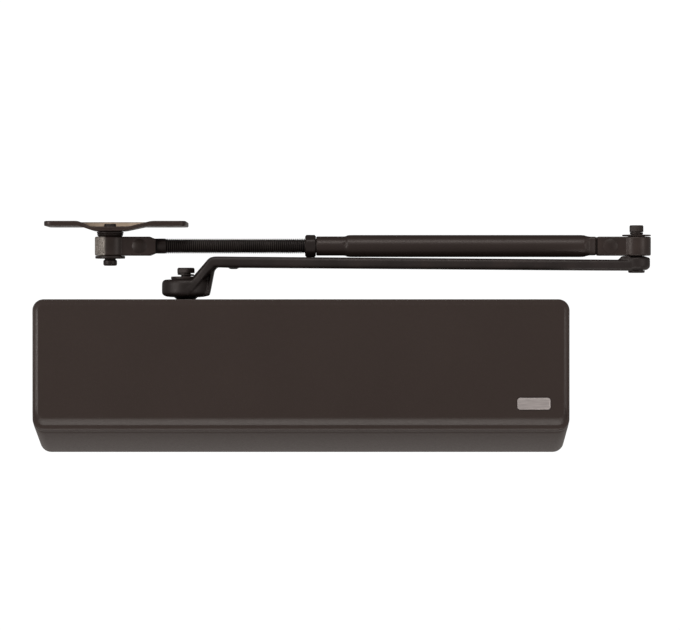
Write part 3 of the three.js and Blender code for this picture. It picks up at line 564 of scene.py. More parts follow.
def cover_loop(depth, inset):
    """A rounded rectangle in x and z at one depth, drawn in by inset, that follows the sloping bottom.

    Near the front, the top's points fall back less than the sides' and roll over a tighter edge,
    and the bottom's points are drawn in and fall back further, which makes a wide soft bevel there.
    """
    low, high = node_box("cover")
    half = high[0] - inset
    top = high[2] - inset
    bottom = FRONT_BOTTOM - SLOPE * (depth - low[1]) + inset * math.hypot(1, SLOPE)
    radius = max(COVER_CORNER - inset, 1.2)
    outline = rounded_rectangle(half, (top - bottom) / 2, radius, CORNER_STEPS) + [0, (top + bottom) / 2]
    left = [(-half, top - SIDE_REACH - 1), (-half, bottom + SIDE_REACH + 1)]
    right = [(half, bottom + SIDE_REACH + 1), (half, top - SIDE_REACH - 1)]
    upper = 2 * (CORNER_STEPS + 1)
    outline = np.concatenate([outline[:upper], left, outline[upper:], right])
    y = np.full(len(outline), depth)
    z = outline[:, 1].copy()
    behind = depth - low[1]
    if behind < FRONT_ZONE:
        topness = eased((z - top + SIDE_REACH) / SIDE_REACH)
        bottomness = eased((bottom + SIDE_REACH - z) / SIDE_REACH)
        depths = [0, 0.06, 0.25, RIM_FALL, COVER_RIM, FRONT_ZONE]
        y -= topness * TOP_FLATTEN * behind * np.clip(3 - 3 * behind / COVER_RIM, 0, 1)
        y += bottomness * np.interp(behind, depths, [0, 0, 0.11, 1.75, 1.65, 0])
        z += topness * np.interp(inset, [0, RIM_ROLL, BEVEL_START], [0, 0.8, 0])
        z += bottomness * np.interp(inset, [0, RIM_ROLL, 3.0, BEVEL_START], [0, 1.03, 3.1, 3.9])
    return np.stack([outline[:, 0], y, z], -1)


def cover():
    """A shell: loops from the face round the rim, along the sides, round the open edge and forward inside.

    The rim's roll is a quarter of a superellipse of power 4: its shares are 1 - sqrt(sin) and 1 - sqrt(cos).
    """
    low, high = node_box("cover")
    front, back = low[1], high[1]
    groove = front + COVER_RIM
    stations = [(front, COVER_RIM + 0.55), (front, COVER_RIM + 0.1), (front + 0.06, BEVEL_START)]
    stations += [(front + 0.25, 3.0), (front + RIM_FALL, RIM_ROLL)]
    for a in np.linspace(0, np.pi / 2, 9)[1:]:
        deeper = (COVER_RIM - RIM_FALL) * (1 - math.sqrt(abs(math.cos(a))))
        stations.append((front + RIM_FALL + deeper, RIM_ROLL * (1 - math.sqrt(math.sin(a)))))
    stations += [(groove + 0.9, 0.12), (groove + 1.7, 0.5), (groove + 3.0, 0.35), (groove + 5.5, 0.0)]
    stations += [(back - 0.5, 0.0), (back, 0.5), (back, COVER_WALL - 0.4), (back - 0.4, COVER_WALL)]
    stations += [(front + COVER_WALL + 1.5, COVER_WALL), (front + COVER_WALL, COVER_WALL + 1.5)]
    loops = [cover_loop(depth, inset) for depth, inset in stations]
    body = scratch("cover_shell_blank", [skin(np.stack(loops))])
    outline = [(SPINDLE[0] - NOTCH_HALF, 10), (SPINDLE[0] - NOTCH_HALF, ARM_Y)]
    turn = np.linspace(np.pi, 2 * np.pi, 25)[1:-1]
    outline += [(SPINDLE[0] + NOTCH_HALF * math.cos(a), ARM_Y + NOTCH_HALF * math.sin(a)) for a in turn]
    outline += [(SPINDLE[0] + NOTCH_HALF, ARM_Y), (SPINDLE[0] + NOTCH_HALF, 10)]
    flat = np.array(outline)
    slot = np.stack([np.column_stack([flat, np.full(len(flat), z)]) for z in (30.0, 45.0)])
    drilled(body, scratch("notch_cutter", [skin(slot)]))
    return place("cover_shell_piece", released(body, 32), "cover_shell", COVER_PAINT, "cover_paint", "cover")


def badge():
    """A thin blank plate: loops of a rounded rectangle rise over a rounded edge to a fine raised border."""
    low, high = node_box("badge_plate")
    middle = (low + high) / 2
    half = (high - low) / 2
    front = low[1]
    stations = [(high[1], 0.0), (front + 0.25, 0.0), (front + 0.07, 0.08), (front, 0.25), (front, 0.65)]
    stations.append((front + 0.12, 0.8))
    loops = []
    for depth, inset in stations:
        outline = rounded_rectangle(half[0] - inset, half[2] - inset, 1.6 - inset, 6) + middle[[0, 2]]
        loops.append(np.stack([outline[:, 0], np.full(len(outline), depth), outline[:, 1]], -1))
    mesh = mesh_of("badge_blank", [skin(np.stack(loops))])
    return place("badge_blank", mesh, "cover_shell", BADGE_METAL, "badge", "badge_plate")


# ---- main arm ----

HUB_R, HUB_LOW, HUB_TOP = 14.5, 40.6, 50.9
BAR_HALF_WIDTH = 10.0
EYE_HALF_WIDTH = 7.2
EYE_R, EYE_LOW, EYE_TOP = 8.2, 56.6, 65.1
SQUARE_HALF, SPOT_FACE_R, EYE_HOLE_R = 4.45, 9.4, 4.0


def hub_shell():
    """Turned hub with generous forged edges."""
    profile = [(2, HUB_LOW - 0.4), (8.2, HUB_LOW - 0.4), (12.0, HUB_LOW), (HUB_R, HUB_LOW + 1.2)]
    profile += [(HUB_R, HUB_TOP), (2, HUB_TOP)]
    return turned(rounded(profile, [0, 0.8, 1.2, 1.6, 3.0, 0], 6), SPINDLE)


def bar_shell():
    """A rounded rectangle carried up the 45-degree gooseneck and along the bar, narrowing towards the eye."""
    path = smooth_path([(-63.2, 50.2), (-53.4, 61.5), (-40, 61.3), (180, 59.6), (199, 59.5)], 1.0, 1)
    half_thick = np.interp(path[:, 0], [-72, -56, -50, -45, 180], [3.0, 3.1, 3.25, 3.3, 3.28])
    half_width = np.interp(path[:, 0], [160, 199], [BAR_HALF_WIDTH, EYE_HALF_WIDTH])
    return carried_in_xz(path, half_width, half_thick, 2.0)


def rib_shell():
    """The slanted rib under the bar: a rounded section carried down onto the hub, widening as it goes."""
    path = smooth_path([(-69.5, 42.2), (-63.4, 49.6), (-54.6, 60.6), (-50, 61.5)], 1.2, 4)
    half_width = np.interp(path[:, 1], [42, 45, 50, 57, 60], [14.3, 14.7, 13.4, 10.6, 10.0])
    return carried_in_xz(path, half_width, np.full(len(path), 2.45), 1.5)


def slab(outline, half_width, edge):
    """A side outline in x and z given thickness across the arm, its edges rounded by two smaller loops."""
    outline = np.asarray(outline, float)
    centre = outline.mean(0)
    loops = []
    inner = half_width - 0.6
    for y, share in ((-half_width, 1 - edge), (-inner, 1.0), (inner, 1.0), (half_width, 1 - edge)):
        loop = centre + (outline - centre) * share
        loops.append(np.stack([loop[:, 0], np.full(len(loop), ARM_Y + y), loop[:, 1]], -1))
    return skin(np.stack(loops))


def main_arm():
    """Hub, bar, ribs, eye and lug fused into one forging by a voxel skin, smoothed, then machined."""
    web = [(-66, 42.3), (-56.5, 41.1), (-55.2, 43), (-52.6, 56.0), (-50.2, 58.8), (-52, 61.0), (-56, 60)]
    edge_rib = [(-57.0, 41.9), (-56.2, 41.0), (-55.1, 43), (-52.5, 56.2)]
    edge_rib += [(-49.8, 59.4), (-52.4, 60), (-54.4, 56)]
    foot = [(-66, 41.2), (-56.6, 40.9), (-55.3, 41.9), (-55.3, 43.4), (-58, 43.8), (-66, 44.2)]
    eye = [(1, EYE_LOW), (EYE_R - 1.8, EYE_LOW), (EYE_R, EYE_LOW + 1.8), (EYE_R, EYE_TOP - 1.2)]
    eye += [(EYE_R - 3.6, EYE_TOP), (1, EYE_TOP)]
    eye = rounded(eye, [0, 0.6, 0.6, 0.6, 0.6, 0], 4)
    wedge = [(190.6, 62.0), (191.2, 62.7), (193.6, EYE_TOP), (198, EYE_TOP), (198, 60), (190.6, 60)]
    lug = [(-43.6, 57.7), (-43.2, 57.2), (-38.8, 57.2), (-38.4, 57.7), (-38.4, 60), (-43.6, 60)]
    shells = [
        hub_shell(), bar_shell(), rib_shell(),
        slab(web, 4.4, 0.02), slab(edge_rib, 7.0, 0.04), slab(foot, 8.0, 0.04),
        turned(eye, ELBOW), slab(wedge, 6.0, 0.02), slab(lug, 4.0, 0.02),
    ]
    body = scratch("arm_blank", shells)
    applied(body, ("REMESH", {"mode": "VOXEL", "voxel_size": 0.5 * MM}))
    applied(body, ("SMOOTH", {"factor": 0.5, "iterations": 7}))
    square = rounded_rectangle(SQUARE_HALF, SQUARE_HALF, 0.6, 3) + SPINDLE[:2]
    hole = [np.column_stack([square, np.full(len(square), z)]) for z in (HUB_LOW - 2, HUB_TOP + 2)]
    drilled(
        body,
        scratch("spot_face", [cylinder(SPINDLE, SPOT_FACE_R, HUB_TOP - 0.05, 75)]),
        scratch("square_hole", [skin(np.stack(hole))]),
        scratch("eye_hole", [cylinder(ELBOW, EYE_HOLE_R, 50, 70)]),
    )
    return place("main_arm_forging", released(body, 50), "arm", FORGED_PAINT, "arm_paint", "main_arm")


# ---- screws, washers, studs and rivets ----


def flat_washer(name, node, centre, hole, body):
    """A punched washer: a closed rounded profile turned about the axis."""
    low, high = node_box(node)
    outer = (high[0] - low[0]) / 2
    shell = turned(washer_profile(hole, outer, low[2], high[2], 0.45), centre, sides=72, ring=True)
    return place(name, mesh_of(name, [shell]), body, SCREW_PAINT, "arm_paint", node)


def spring_washer(name, node, centre, hole, outer, body, gap_at, rise, tilt=0.0, shift=0.0):
    """One turn of square wire, rising a little round the turn, with cut ends; tilt lowers its right side."""
    low, high = node_box(node)
    angle = gap_at + np.linspace(0.1, 2 * np.pi - 0.1, 73)
    section = rounded_rectangle((outer - hole) / 2, (high[2] - low[2] - rise - tilt) / 2, 0.22, 3)
    middle = (outer + hole) / 2
    climb = (np.linspace(-rise / 2, rise / 2, len(angle)) - tilt * np.cos(angle))[:, None]
    grid = np.zeros((len(angle), len(section), 3))
    grid[..., 0] = centre[0] + shift + (middle + section[:, 0]) * np.cos(angle)[:, None]
    grid[..., 1] = centre[1] + (middle + section[:, 0]) * np.sin(angle)[:, None]
    grid[..., 2] = (low[2] + high[2]) / 2 + section[:, 1] + climb
    return place(name, mesh_of(name, [skin(grid)]), body, SCREW_PAINT, "arm_paint", node)


def hex_screw(name, node, centre, flats, head_low, shank_r, turn, body):
    """Hexagon head with a chamfered top over a plain shank."""
    low, high = node_box(node)
    head = hexagon_head(centre, flats, head_low, high[2], turn)
    shank = [(shank_r - 0.5, low[2]), (shank_r, low[2] + 0.6), (shank_r, head_low + 0.2)]
    shank = turned(shank, centre, sides=32)
    return place(name, mesh_of(name, [head, shank], 28), body, SCREW_PAINT, "arm_paint", node)


RIVET_TRIM = 0.35
STRAP_FACE = 5.85  # from the strap's middle to the outer side of either leg


def dome_rivet(name, node, centre, body, tall):
    """Rivet with lens-shaped heads, each tall * (1 - 0.86 r^2) high at a share r of the head's radius."""
    low, high = node_box(node)
    head = (high[0] - low[0]) / 2 - RIVET_TRIM
    near = [(head * r, -STRAP_FACE - tall * (1 - 0.86 * r**2)) for r in np.linspace(0.05, 1, 14)]
    near += [(head, -STRAP_FACE), (2.2, -STRAP_FACE)]
    profile = np.array(near + [(r, -h) for r, h in near[::-1]]) + [0, centre[1]]
    shell = turned(profile, centre, "y", 48)
    return place(name, mesh_of(name, [shell], 40), body, STRIP_PAINT, "arm_paint", node)


def elbow_stud():
    """Shouldered stud with a flat rivet head below the eye, tapped for the bolt."""
    low, high = node_box("elbow_stud")
    head, neck, pin = 5.0, 3.9, 5.38
    below, above = EYE_LOW - 0.15, EYE_TOP + 0.1
    profile = [
        (1, low[2]), (head, low[2]), (head, below), (neck, below), (neck, above), (pin, above),
        (pin, high[2]), (2.6, high[2]), (2.6, 61), (1, 61),
    ]
    shell = turned(rounded(profile, [0, 0.9, 0.2, 0, 0, 0, 0.3, 0.2, 0, 0], 4), ELBOW, sides=64)
    mesh = mesh_of("elbow_stud_turned", [shell])
    return place("elbow_stud_turned", mesh, "arm", SCREW_PAINT, "arm_paint", "elbow_stud")


def shoe_stud():
    """Shoe stud from its peened lower end up through the flange to the rivet head in the plate's dish."""
    low, high = node_box("shoe_stud")
    profile = [
        (1, low[2]), (4.15, low[2]), (4.15, 62.4), (3.3, 62.9), (3.3, 65.2), (5.38, 65.2), (5.38, 76.85),
        (7.3, 76.85), (7.95, 78.1), (7.5, 78.45), (8.05, 78.7), (8.05, 79.75), (2.8, 79.75),
        (2.8, 82.6), (3.7, 82.6), (3.5, high[2]), (1, high[2]),
    ]
    radii = [0, 1.2, 0.5, 0.3, 0, 0, 0, 0.2, 0.3, 0.15, 0.2, 0.5, 0, 0, 0.3, 0.5, 0]
    shell = turned(rounded(profile, radii, 4), SHOE, sides=64)
    mesh = mesh_of("shoe_stud_turned", [shell])
    return place("shoe_stud_turned", mesh, "shoe", SCREW_PAINT, "arm_paint", "shoe_stud")


# ---- strap knuckles ----


PIN_HOLE_R = 5.55


def strap(name, node, pin, toward, rivet, material, body, leg_taper, grow=0.0):
    """A steel strip bent round the pin: its section is carried from leg end to leg end, round the loop.

    toward is the legs' side along x, leg_taper the length over which they narrow to their ends, and grow
    the thickness added on the outside.
    """
    low, high = node_box(node)
    ring = (high[1] - low[1]) / 2 + grow
    thick = ring - PIN_HOLE_R
    loop_r = (ring + PIN_HOLE_R) / 2
    leg_y = STRAP_FACE - (thick - grow) / 2
    leg_end = (high[0] if toward > 0 else low[0]) - pin[0]
    meet = math.asin(leg_y / loop_r)
    turn = np.linspace(meet, 2 * np.pi - meet, 61)
    arc = np.column_stack([toward * loop_r * np.cos(turn), loop_r * np.sin(turn)])
    path = smooth_path(np.concatenate([[(leg_end, leg_y)], arc, [(leg_end, -leg_y)]]), 0.45, 8)
    from_end = abs(leg_end) - path[:, 0] * toward
    narrowed = np.clip((leg_taper - from_end) / leg_taper, 0, 1) * leg_taper * 0.42
    middle = (low[2] + high[2]) / 2
    loops = []
    for (x, y), (dx, dy), tall in zip(path, unit_steps(path), (high[2] - low[2]) / 2 - narrowed):
        section = rounded_rectangle((thick - 0.15) / 2, tall, 0.8, 5)
        across, up = section[:, 0], section[:, 1]
        loops.append(np.stack([pin[0] + x - dy * across, ARM_Y + y + dx * across, middle + up], -1))
    blank = scratch(name + "_blank", [skin(np.stack(loops))])
    drilled(blank, rivet_drill(rivet))
    return place(name, released(blank, 32), body, material, "arm_paint", node)


# ---- tube, nut and rod ----


def superellipse(half_deep, half_tall, power, count=64):
    """Points of |y/a|^n + |z/b|^n = 1; a power of 2 is an ellipse and a high power is nearly a rectangle."""
    angle = np.arange(count) * 2 * np.pi / count
    c, s = np.cos(angle), np.sin(angle)
    scale = (np.abs(c) ** power + np.abs(s) ** power) ** (-1 / power)
    return np.stack([half_deep * scale * c, half_tall * scale * s], -1)


TIP_R = 5.7


def blade_tip(centre_x, radius, from_x):
    """Share of the height left along a blade whose tip is round about its rivet."""
    reach = np.clip((from_x - centre_x) / radius, 0, 0.999)
    return np.sqrt(1 - reach**2)


def forearm_tube():
    """Sections carried along x: reduced neck, round tube, then pressed flat into a blade with a round tip."""
    low = node_box("forearm_tube")[0]
    z = NUT[2]
    tip = ELBOW_RIVET[0]
    #         x,     half depth, half height, power
    stations = [
        (low[0], 5.3, 5.3, 2), (low[0] + 0.15, 5.6, 5.6, 2), (low[0] + 0.6, 5.8, 5.8, 2), (25.6, 5.8, 5.8, 2),
        (26.6, 5.95, 5.95, 2), (27.6, 6.4, 6.4, 2), (28.8, 6.6, 6.6, 2), (30.5, 6.65, 6.65, 2),
        (168.5, 6.65, 6.65, 2), (170.4, 6.5, 6.5, 2.1), (171.8, 5.8, 6.1, 2.6), (173.2, 4.8, 5.75, 4),
        (174.2, 4.4, 5.65, 7), (176.9, 4.4, 5.62, 8), (177.3, 4.1, 5.4, 8), (177.35, 2.5, 5.3, 9),
    ]
    stations += [(x, 2.5, 5.5 * float(blade_tip(tip, TIP_R, x)), 9) for x in np.linspace(180, tip + 5.6, 16)]
    table = np.array(stations)
    dense = np.unique(np.concatenate([table[:, 0], np.arange(low[0] + 1, 172, 1.0)]))
    sizes = [np.interp(dense, table[:, 0], table[:, k]) for k in (1, 2, 3)]
    grid = np.stack([section_at(x, superellipse(*size)) for x, size in zip(dense, zip(*sizes))])
    dent = np.array([26.4, ARM_Y - 6.0, z + 0.9])
    away = np.linalg.norm(grid - dent, axis=-1)
    grid[..., 1] += 0.45 * np.exp(-(away / 1.1) ** 2)
    blank = scratch("tube_blank", [skin(grid)])
    bore = scratch("tube_bore", [cylinder((0, ARM_Y, z), 4.7, low[0] - 2, 95, "x", 48)])
    drilled(blank, bore, rivet_drill(ELBOW_RIVET))
    mesh = released(blank, 38)
    return place("forearm_tube_swaged", mesh, "forearm", TUBE_PAINT, "arm_paint", "forearm_tube")


def lock_nut():
    """Hexagon nut, chamfered at both ends, with a plain bore over the rod."""
    low, high = node_box("lock_nut")
    axis_point = (0, ARM_Y, NUT[2])
    body = hexagon_head(axis_point, 12.55, low[0], high[0], 0.0, "x", 0.1, both=True, corner_share=1.075)
    blank = scratch("nut_blank", [body])
    drilled(blank, scratch("nut_bore", [cylinder(axis_point, 4.72, low[0] - 2, high[0] + 2, "x", 48)]))
    return place("lock_nut_hex", released(blank, 28), "nut", SCREW_PAINT, "arm_paint", "lock_nut")


THREAD_PITCH = 1.25
THREAD_DEPTH = 0.8


def adjusting_rod():
    """Threaded rod: the radius dips in a trapezoid once each pitch, and the dip winds round as a helix.

    The phase is x / pitch - angle / 2 pi. The dip is 5.2 * (0.5 - |phase - 0.5|) - 0.8, kept within 0 and 1.
    """
    low, high = node_box("adjusting_rod")
    outer = (high[1] - low[1]) / 2
    sides = 40
    threaded = np.arange(THREAD_START, high[0], THREAD_PITCH / 8)
    xs = np.concatenate([[-87.1, -86.9, -82.9], threaded, [high[0]]])
    angle = np.arange(sides) * 2 * np.pi / sides
    phase = (xs[:, None] / THREAD_PITCH - angle[None, :] / (2 * np.pi)) % 1.0
    dip = np.clip(5.2 * (0.5 - np.abs(phase - 0.5)) - 0.8, 0, 1)
    fade = np.clip((xs - THREAD_START) / 1.2, 0, 1) * np.clip((high[0] - xs) / 1.0, 0, 1)
    radius = outer - THREAD_DEPTH * dip * fade[:, None]
    radius[xs <= -87.0] = outer - 0.3
    grid = np.zeros((len(xs), sides, 3))
    grid[..., 0] = xs[:, None]
    grid[..., 1] = ARM_Y + radius * np.cos(angle)
    grid[..., 2] = NUT[2] + radius * np.sin(angle)
    tip = SHOE_RIVET[0]
    blade = []
    for x in np.concatenate([[-86.9, -90], np.linspace(-94, tip - 5.6, 16)]):
        blade.append(section_at(x, superellipse(2.5, 4.5 * float(blade_tip(-tip, TIP_R, -x)), 9, 40)))
    blade_blank = scratch("rod_blade", [skin(np.stack(blade))])
    drilled(blade_blank, rivet_drill(SHOE_RIVET))
    rod = scratch("rod_blank", [skin(grid)])
    applied(rod, ("BOOLEAN", {"operation": "UNION", "solver": "EXACT", "object": blade_blank}))
    bpy.data.objects.remove(blade_blank)
    mesh = released(rod, 40)
    return place("adjusting_rod_threaded", mesh, "rod", THREAD_PAINT, "arm_paint", "adjusting_rod")


# ---- shoe plate ----


PLATE_THICK = 3.0
PLATE_CORNER = 5.0
PLATE_EDGE = 0.7  # radius of the stamped edge
PLATE_TRIM = 0.6  # how far each end stays inside the CAD plate's
DISH_BELOW, DISH_ABOVE = 2.85, 3.35  # depth of the dish on the sheet's two faces
RAMP_BELOW = [-133, -124.6, -105.9, -92.6]  # x at both ends of the dish's left slope, then of its right slope
RAMP_ABOVE = [-133.3, -126.5, -103.0, -89.5]
SCREW_HOLE_R, STUD_HOLE_R = 2.6, 2.9


def plate_grid(inset, lift):
    """The sheet's points at one height in its thickness, in a round-cornered outline pressed by the dish."""
    low, high = node_box("shoe_plate")
    across = np.concatenate([np.linspace(0, 1, 97), np.linspace(0, 0.06, 9), np.linspace(0.94, 1, 9)])
    x = low[0] + PLATE_TRIM + inset + (high[0] - low[0] - 2 * PLATE_TRIM - 2 * inset) * np.unique(across)
    r = PLATE_CORNER - inset
    from_end = np.minimum(x - x[0], x[-1] - x)
    pull = r - np.sqrt(np.maximum(r**2 - np.maximum(r - from_end, 0) ** 2, 0))
    near = (low[1] + inset + pull)[:, None]
    far = (high[1] - inset - pull)[:, None]
    y = near + (far - near) * np.linspace(0, 1, 33)[None, :]
    share = lift / PLATE_THICK + 0.5
    press = DISH_BELOW * (1 - share) * np.interp(x, RAMP_BELOW, [0, 1, 1, 0])
    press += DISH_ABOVE * share * np.interp(x, RAMP_ABOVE, [0, 1, 1, 0])
    for _ in range(3):
        press[1:-1] = 0.25 * press[:-2] + 0.5 * press[1:-1] + 0.25 * press[2:]
    wall = 1 - eased((y - DISH_WALL_FRONT) / (DISH_WALL_BACK - DISH_WALL_FRONT))
    z = high[2] - PLATE_THICK / 2 + lift - press[:, None] * wall
    return np.stack([np.broadcast_to(x[:, None], y.shape), y, z], -1)


def plate_border(inset, lift):
    """The loop of points round one such grid."""
    grid = plate_grid(inset, lift)
    return np.concatenate([grid[:-1, 0], grid[-1, :-1], grid[:0:-1, -1], grid[0, :0:-1]])


def shoe_plate():
    """Stamped sheet with a dish open at the front: a grid above, a grid below and a rounded edge between."""
    half = PLATE_THICK / 2
    top, bottom = plate_grid(PLATE_EDGE, half), plate_grid(PLATE_EDGE, -half)
    rows, columns = top.shape[:2]
    i, j = np.meshgrid(np.arange(rows - 1), np.arange(columns - 1), indexing="ij")
    first = i * columns + j
    quads = np.stack([first, first + columns, first + columns + 1, first + 1], -1).reshape(-1, 4)
    count = rows * columns
    quarter = np.linspace(0, np.pi / 2, 5)
    inwards, downwards = PLATE_EDGE * (1 - np.sin(quarter)), PLATE_EDGE * (1 - np.cos(quarter))
    rim = [plate_border(inset, half - fall) for inset, fall in zip(inwards, downwards)]
    rim += [plate_border(inset, rise - half) for inset, rise in zip(downwards, inwards)]
    rim = np.stack(rim)
    points = np.concatenate([top.reshape(-1, 3), bottom.reshape(-1, 3), rim.reshape(-1, 3)])
    rim_faces = np.array(ring_faces(rim.shape[0], rim.shape[1])) + 2 * count
    faces = quads.tolist() + (quads[:, ::-1] + count).tolist() + rim_faces[:, ::-1].tolist()
    mesh = bpy.data.meshes.new("shoe_plate_blank")
    mesh.from_pydata((points * MM).tolist(), [], faces)
    blank = helper("shoe_plate_blank", mesh)
    applied(blank, ("WELD", {"merge_threshold": 0.00001}))
    drills = [cylinder((x, y, 0), SCREW_HOLE_R, 70, 95) for x in (-145, -79) for y in (-41, -14)]
    drills.append(cylinder(SHOE, STUD_HOLE_R, 70, 95))
    drilled(blank, *[scratch("plate_drill", [drill]) for drill in drills])
    return place("shoe_plate_stamped", released(blank, 35), "shoe", PLATE_PAINT, "arm_paint", "shoe_plate")


# ---- inside pieces ----


SPRING_SPLIT = 60.0  # x at which a spring's two parts meet
STEPS_A_TURN = 28


def coil_spring(name, node, wire, turns):
    """Round wire wound round the bore's axis, as two parts that meet at SPRING_SPLIT.
    """
    low, high = node_box(node)
    radius = (high[1] - low[1]) / 2 - wire
    t = np.linspace(0, 1, turns * STEPS_A_TURN + 1)
    angle = t * turns * 2 * np.pi
    x = low[0] + wire + (high[0] - low[0] - 2 * wire) * t
    centre = np.stack([x, ARM_Y + radius * np.cos(angle), radius * np.sin(angle)], -1)
    out = np.stack([np.zeros_like(x), np.cos(angle), np.sin(angle)], -1)
    side = np.cross(unit_steps(centre), out)
    around = (np.arange(12) * 2 * np.pi / 12)[None, :, None]
    grid = centre[:, None] + wire * (np.cos(around) * out[:, None] + np.sin(around) * side[:, None])
    split = int(np.argmin(np.abs(x - SPRING_SPLIT)))
    for part, loops, joint, length in (
        ("piston_end", grid[:split + 1], "piston_stroke", x[split] - low[0]),
        ("seat_end", grid[split:], "spring_seat_travel", high[0] - x[split]),
    ):
        title = name + "_" + part
        piece = place(title, mesh_of(title, [skin(loops)]), "closer_body", SPRING_STEEL, "spring_steel", node)
        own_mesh(piece)


def finished_cad(node, material, slot, body, edge):
    """A merged copy of a machined or cast CAD piece with its edges eased by a small bevel."""
    piece = helper(node + "_finished", frame["nodes"][node].data.copy())
    bevel = {"width": edge * MM, "segments": 2, "limit_method": "ANGLE", "angle_limit": math.radians(40)}
    bevel["use_clamp_overlap"] = True
    applied(piece, ("WELD", {"merge_threshold": 0.00001}))
    applied(piece, ("DECIMATE", {"decimate_type": "DISSOLVE", "angle_limit": math.radians(1)}))
    applied(piece, ("BEVEL", bevel))
    return place(node + "_finished", released(piece, 30), body, material, slot, node)


def seal_ring(node, body):
    """Round-section rubber ring: a circle turned about the bore's axis."""
    low, high = node_box(node)
    wire = 1.15
    middle = (low[0] + high[0]) / 2
    radius = (high[1] - low[1]) / 2 - wire
    angle = np.arange(16) * 2 * np.pi / 16
    profile = np.stack([radius + wire * np.cos(angle), middle + wire * 0.9 * np.sin(angle)], -1)
    mesh = mesh_of(node + "_ring", [turned(profile, (0, ARM_Y, 0), "x", 64, ring=True)])
    return place(node + "_ring", mesh, body, RUBBER, "rubber", node)


# ---- all pieces ----

cover()
badge()
main_arm()
flat_washer("arm_washer_flat", "arm_washer", SPINDLE, 3.1, "arm")
spring_washer("arm_lock_washer_split", "arm_lock_washer", SPINDLE, 3.1, 4.95, "arm", 0.9, 0.1, 0.4, -0.12)
hex_screw("arm_screw_hex", "arm_screw", SPINDLE, 10.0, 54.75, 2.95, -0.855, "arm")
elbow_stud()
flat_washer("elbow_washer_flat", "elbow_washer", ELBOW, 2.55, "arm")
spring_washer("elbow_lock_washer_split", "elbow_lock_washer", ELBOW, 2.55, 3.95, "arm", -1.0, 0.1)
hex_screw("elbow_bolt_hex", "elbow_bolt", ELBOW, 8.0, 79.5, 2.4, -0.96, "arm")
strap("elbow_strap_bent", "elbow_strap", ELBOW, -1, ELBOW_RIVET, STRIP_PAINT, "elbow_knuckle", 0.6)
dome_rivet("elbow_rivet_domed", "elbow_rivet", ELBOW_RIVET, "elbow_knuckle", 0.85)
forearm_tube()
lock_nut()
adjusting_rod()
strap("shoe_strap_bent", "shoe_strap", SHOE, 1, SHOE_RIVET, STRAP_PAINTED_HIGHLIGHT, "shoe_knuckle", 3.4, 0.4)
dome_rivet("shoe_rivet_domed", "shoe_rivet", SHOE_RIVET, "shoe_knuckle", 1.1)
shoe_stud()
flat_washer("stud_washer_flat", "stud_washer", SHOE, 3.4, "shoe")
shoe_plate()

finished_cad("body_casting", CASTING, "casting", "closer_body", 0.8)
for node in ("upper_bearing", "lower_bearing", "spindle_seal_nut", "lower_spindle_cap"):
    finished_cad(node, STEEL, "steel", "closer_body", 0.3)
for side in ("left", "right"):
    finished_cad(side + "_end_plug", STEEL, "steel", "closer_body", 0.3)
for side in ("left", "right"):
    finished_cad("cover_clip_" + side, SPRING_STEEL, "spring_steel", "closer_body", 0.15)
finished_cad("power_adjuster", STEEL, "steel", "spring_adjuster", 0.3)
finished_cad("spring_seat", STEEL, "steel", "seat", 0.4)
finished_cad("piston", STEEL, "steel", "piston_unit", 0.25)
finished_cad("check_valve", BRASS, "brass", "piston_unit", 0.2)
finished_cad("pinion_spindle", STEEL, "steel", "arm", 0.2)
for kind in ("sweep", "latch", "backcheck"):
    finished_cad(kind + "_valve", BRASS, "brass", kind + "_screw", 0.2)
coil_spring("outer_spring_coil", "outer_spring", 2.0, 10)
coil_spring("inner_spring_coil", "inner_spring", 1.3, 13)
seal_ring("left_plug_seal", "closer_body")
seal_ring("right_plug_seal", "closer_body")
seal_ring("piston_seal", "piston_unit")

# ---- floor, light and camera ----


WARM = (1.0, 0.945, 0.905)
PAPER_SIZE, PAPER_HEIGHT = 2.4, -1.6  # metres
CAMERA_AT, LENS, SENSOR = (0.02324, -2.097, 0.0295), 181.5, 36


def paper_floor():
    """A matt pale sheet well below the closer."""
    bpy.ops.mesh.primitive_plane_add(size=PAPER_SIZE, location=(0, 0, PAPER_HEIGHT))
    floor = bpy.context.object
    floor.name = "pale_floor"
    paper, tree, shader, where = new_material("matt_white_paper", Roughness=0.9, Specular_IOR_Level=0.1)
    cloud = add(tree, "TexNoise", {"Vector": where, "Scale": 1 / (300 * MM), "Detail": 2})
    colour = add(tree, "ValToRGB", {"Fac": cloud}, [(0.3, "#f2f2f2"), (0.7, "#f6f6f6")])
    connect(tree, shader, {"Base Color": colour})
    floor.data.materials.append(paper)


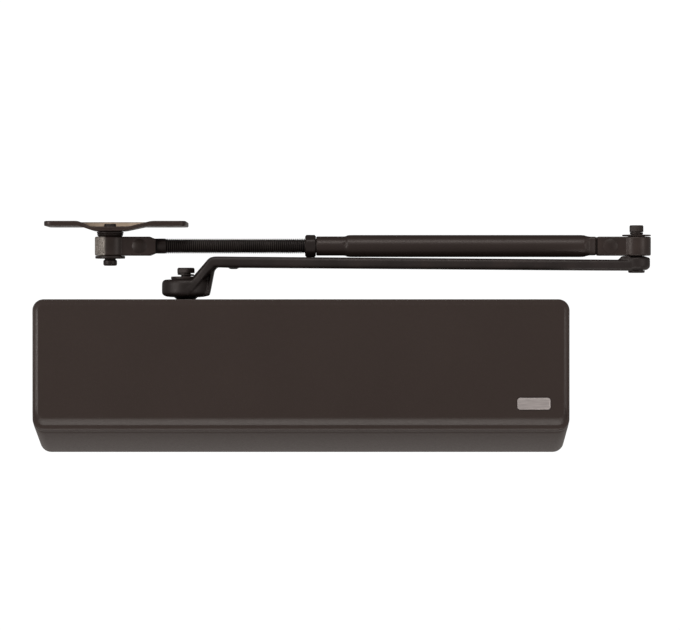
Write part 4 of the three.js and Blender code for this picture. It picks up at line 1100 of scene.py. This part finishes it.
def white_surround():
    """White as the camera sees it; as light it is warm, dim above, brighter low down in front and behind."""
    world = bpy.data.worlds.new("white_surround")
    bpy.context.scene.world = world
    world.use_nodes = True
    tree = world.node_tree
    tree.nodes.clear()
    at = add(tree, "SeparateXYZ", {"Vector": add(tree, "TexCoord").outputs["Generated"]})
    side = add(tree, "MapRange", {"Value": at.outputs["Y"], "From Min": -0.3, "From Max": 0.3})
    levels = []
    for low, high, strength in ((0.1, 0.6, 0.325), (-0.2, 0.3, 0.5)):
        fall = {"From Min": low, "From Max": high, "To Min": strength, "To Max": 0.12}
        levels.append(add(tree, "MapRange", {"Value": at.outputs["Z"], **fall}))
    level = add(tree, "Mix", {0: side, 2: levels[0], 3: levels[1]})
    soft = add(tree, "Background", {"Color": (*WARM, 1), "Strength": level})
    white = add(tree, "Background", {"Color": (1, 1, 1, 1), "Strength": 1.05})
    seen = add(tree, "LightPath").outputs["Is Camera Ray"]
    add(tree, "OutputWorld", {"Surface": add(tree, "MixShader", {0: seen, 1: soft, 2: white})})


def studio():
    """A pale floor, a warm surround, large soft lights and the camera in front."""
    scene = bpy.context.scene
    paper_floor()
    white_surround()
    target = Vector((0.02, -0.03, 0.02))
    for name, place_at, size, power in (
        ("key_softbox", (-0.1, -1.2, 1.45), (1.6, 0.35), 15),
        ("left_softbox", (-1.6, -1.2, 0.25), (0.5, 0.9), 11.5),
        ("right_softbox", (1.5, -1.2, 0.2), (0.5, 0.9), 4.5),
        ("low_softbox", (0.0, -0.75, -1.25), (1.8, 0.3), 8),
    ):
        light = bpy.data.lights.new(name, "AREA")
        light.shape = "RECTANGLE"
        light.size, light.size_y = size
        light.energy = power
        light.color = WARM
        lamp = bpy.data.objects.new(name, light)
        scene.collection.objects.link(lamp)
        lamp.visible_camera = False
        lamp.location = place_at
        lamp.rotation_euler = (target - Vector(place_at)).to_track_quat("-Z", "Y").to_euler()

    camera_data = bpy.data.cameras.new("front_camera")
    camera_data.lens = LENS
    camera_data.sensor_width = SENSOR
    camera = bpy.data.objects.new("front_camera", camera_data)
    scene.collection.objects.link(camera)
    camera.location = CAMERA_AT
    camera.rotation_euler = (math.pi / 2, 0, 0)
    scene.camera = camera
    scene.view_settings.view_transform = "Standard"


studio()
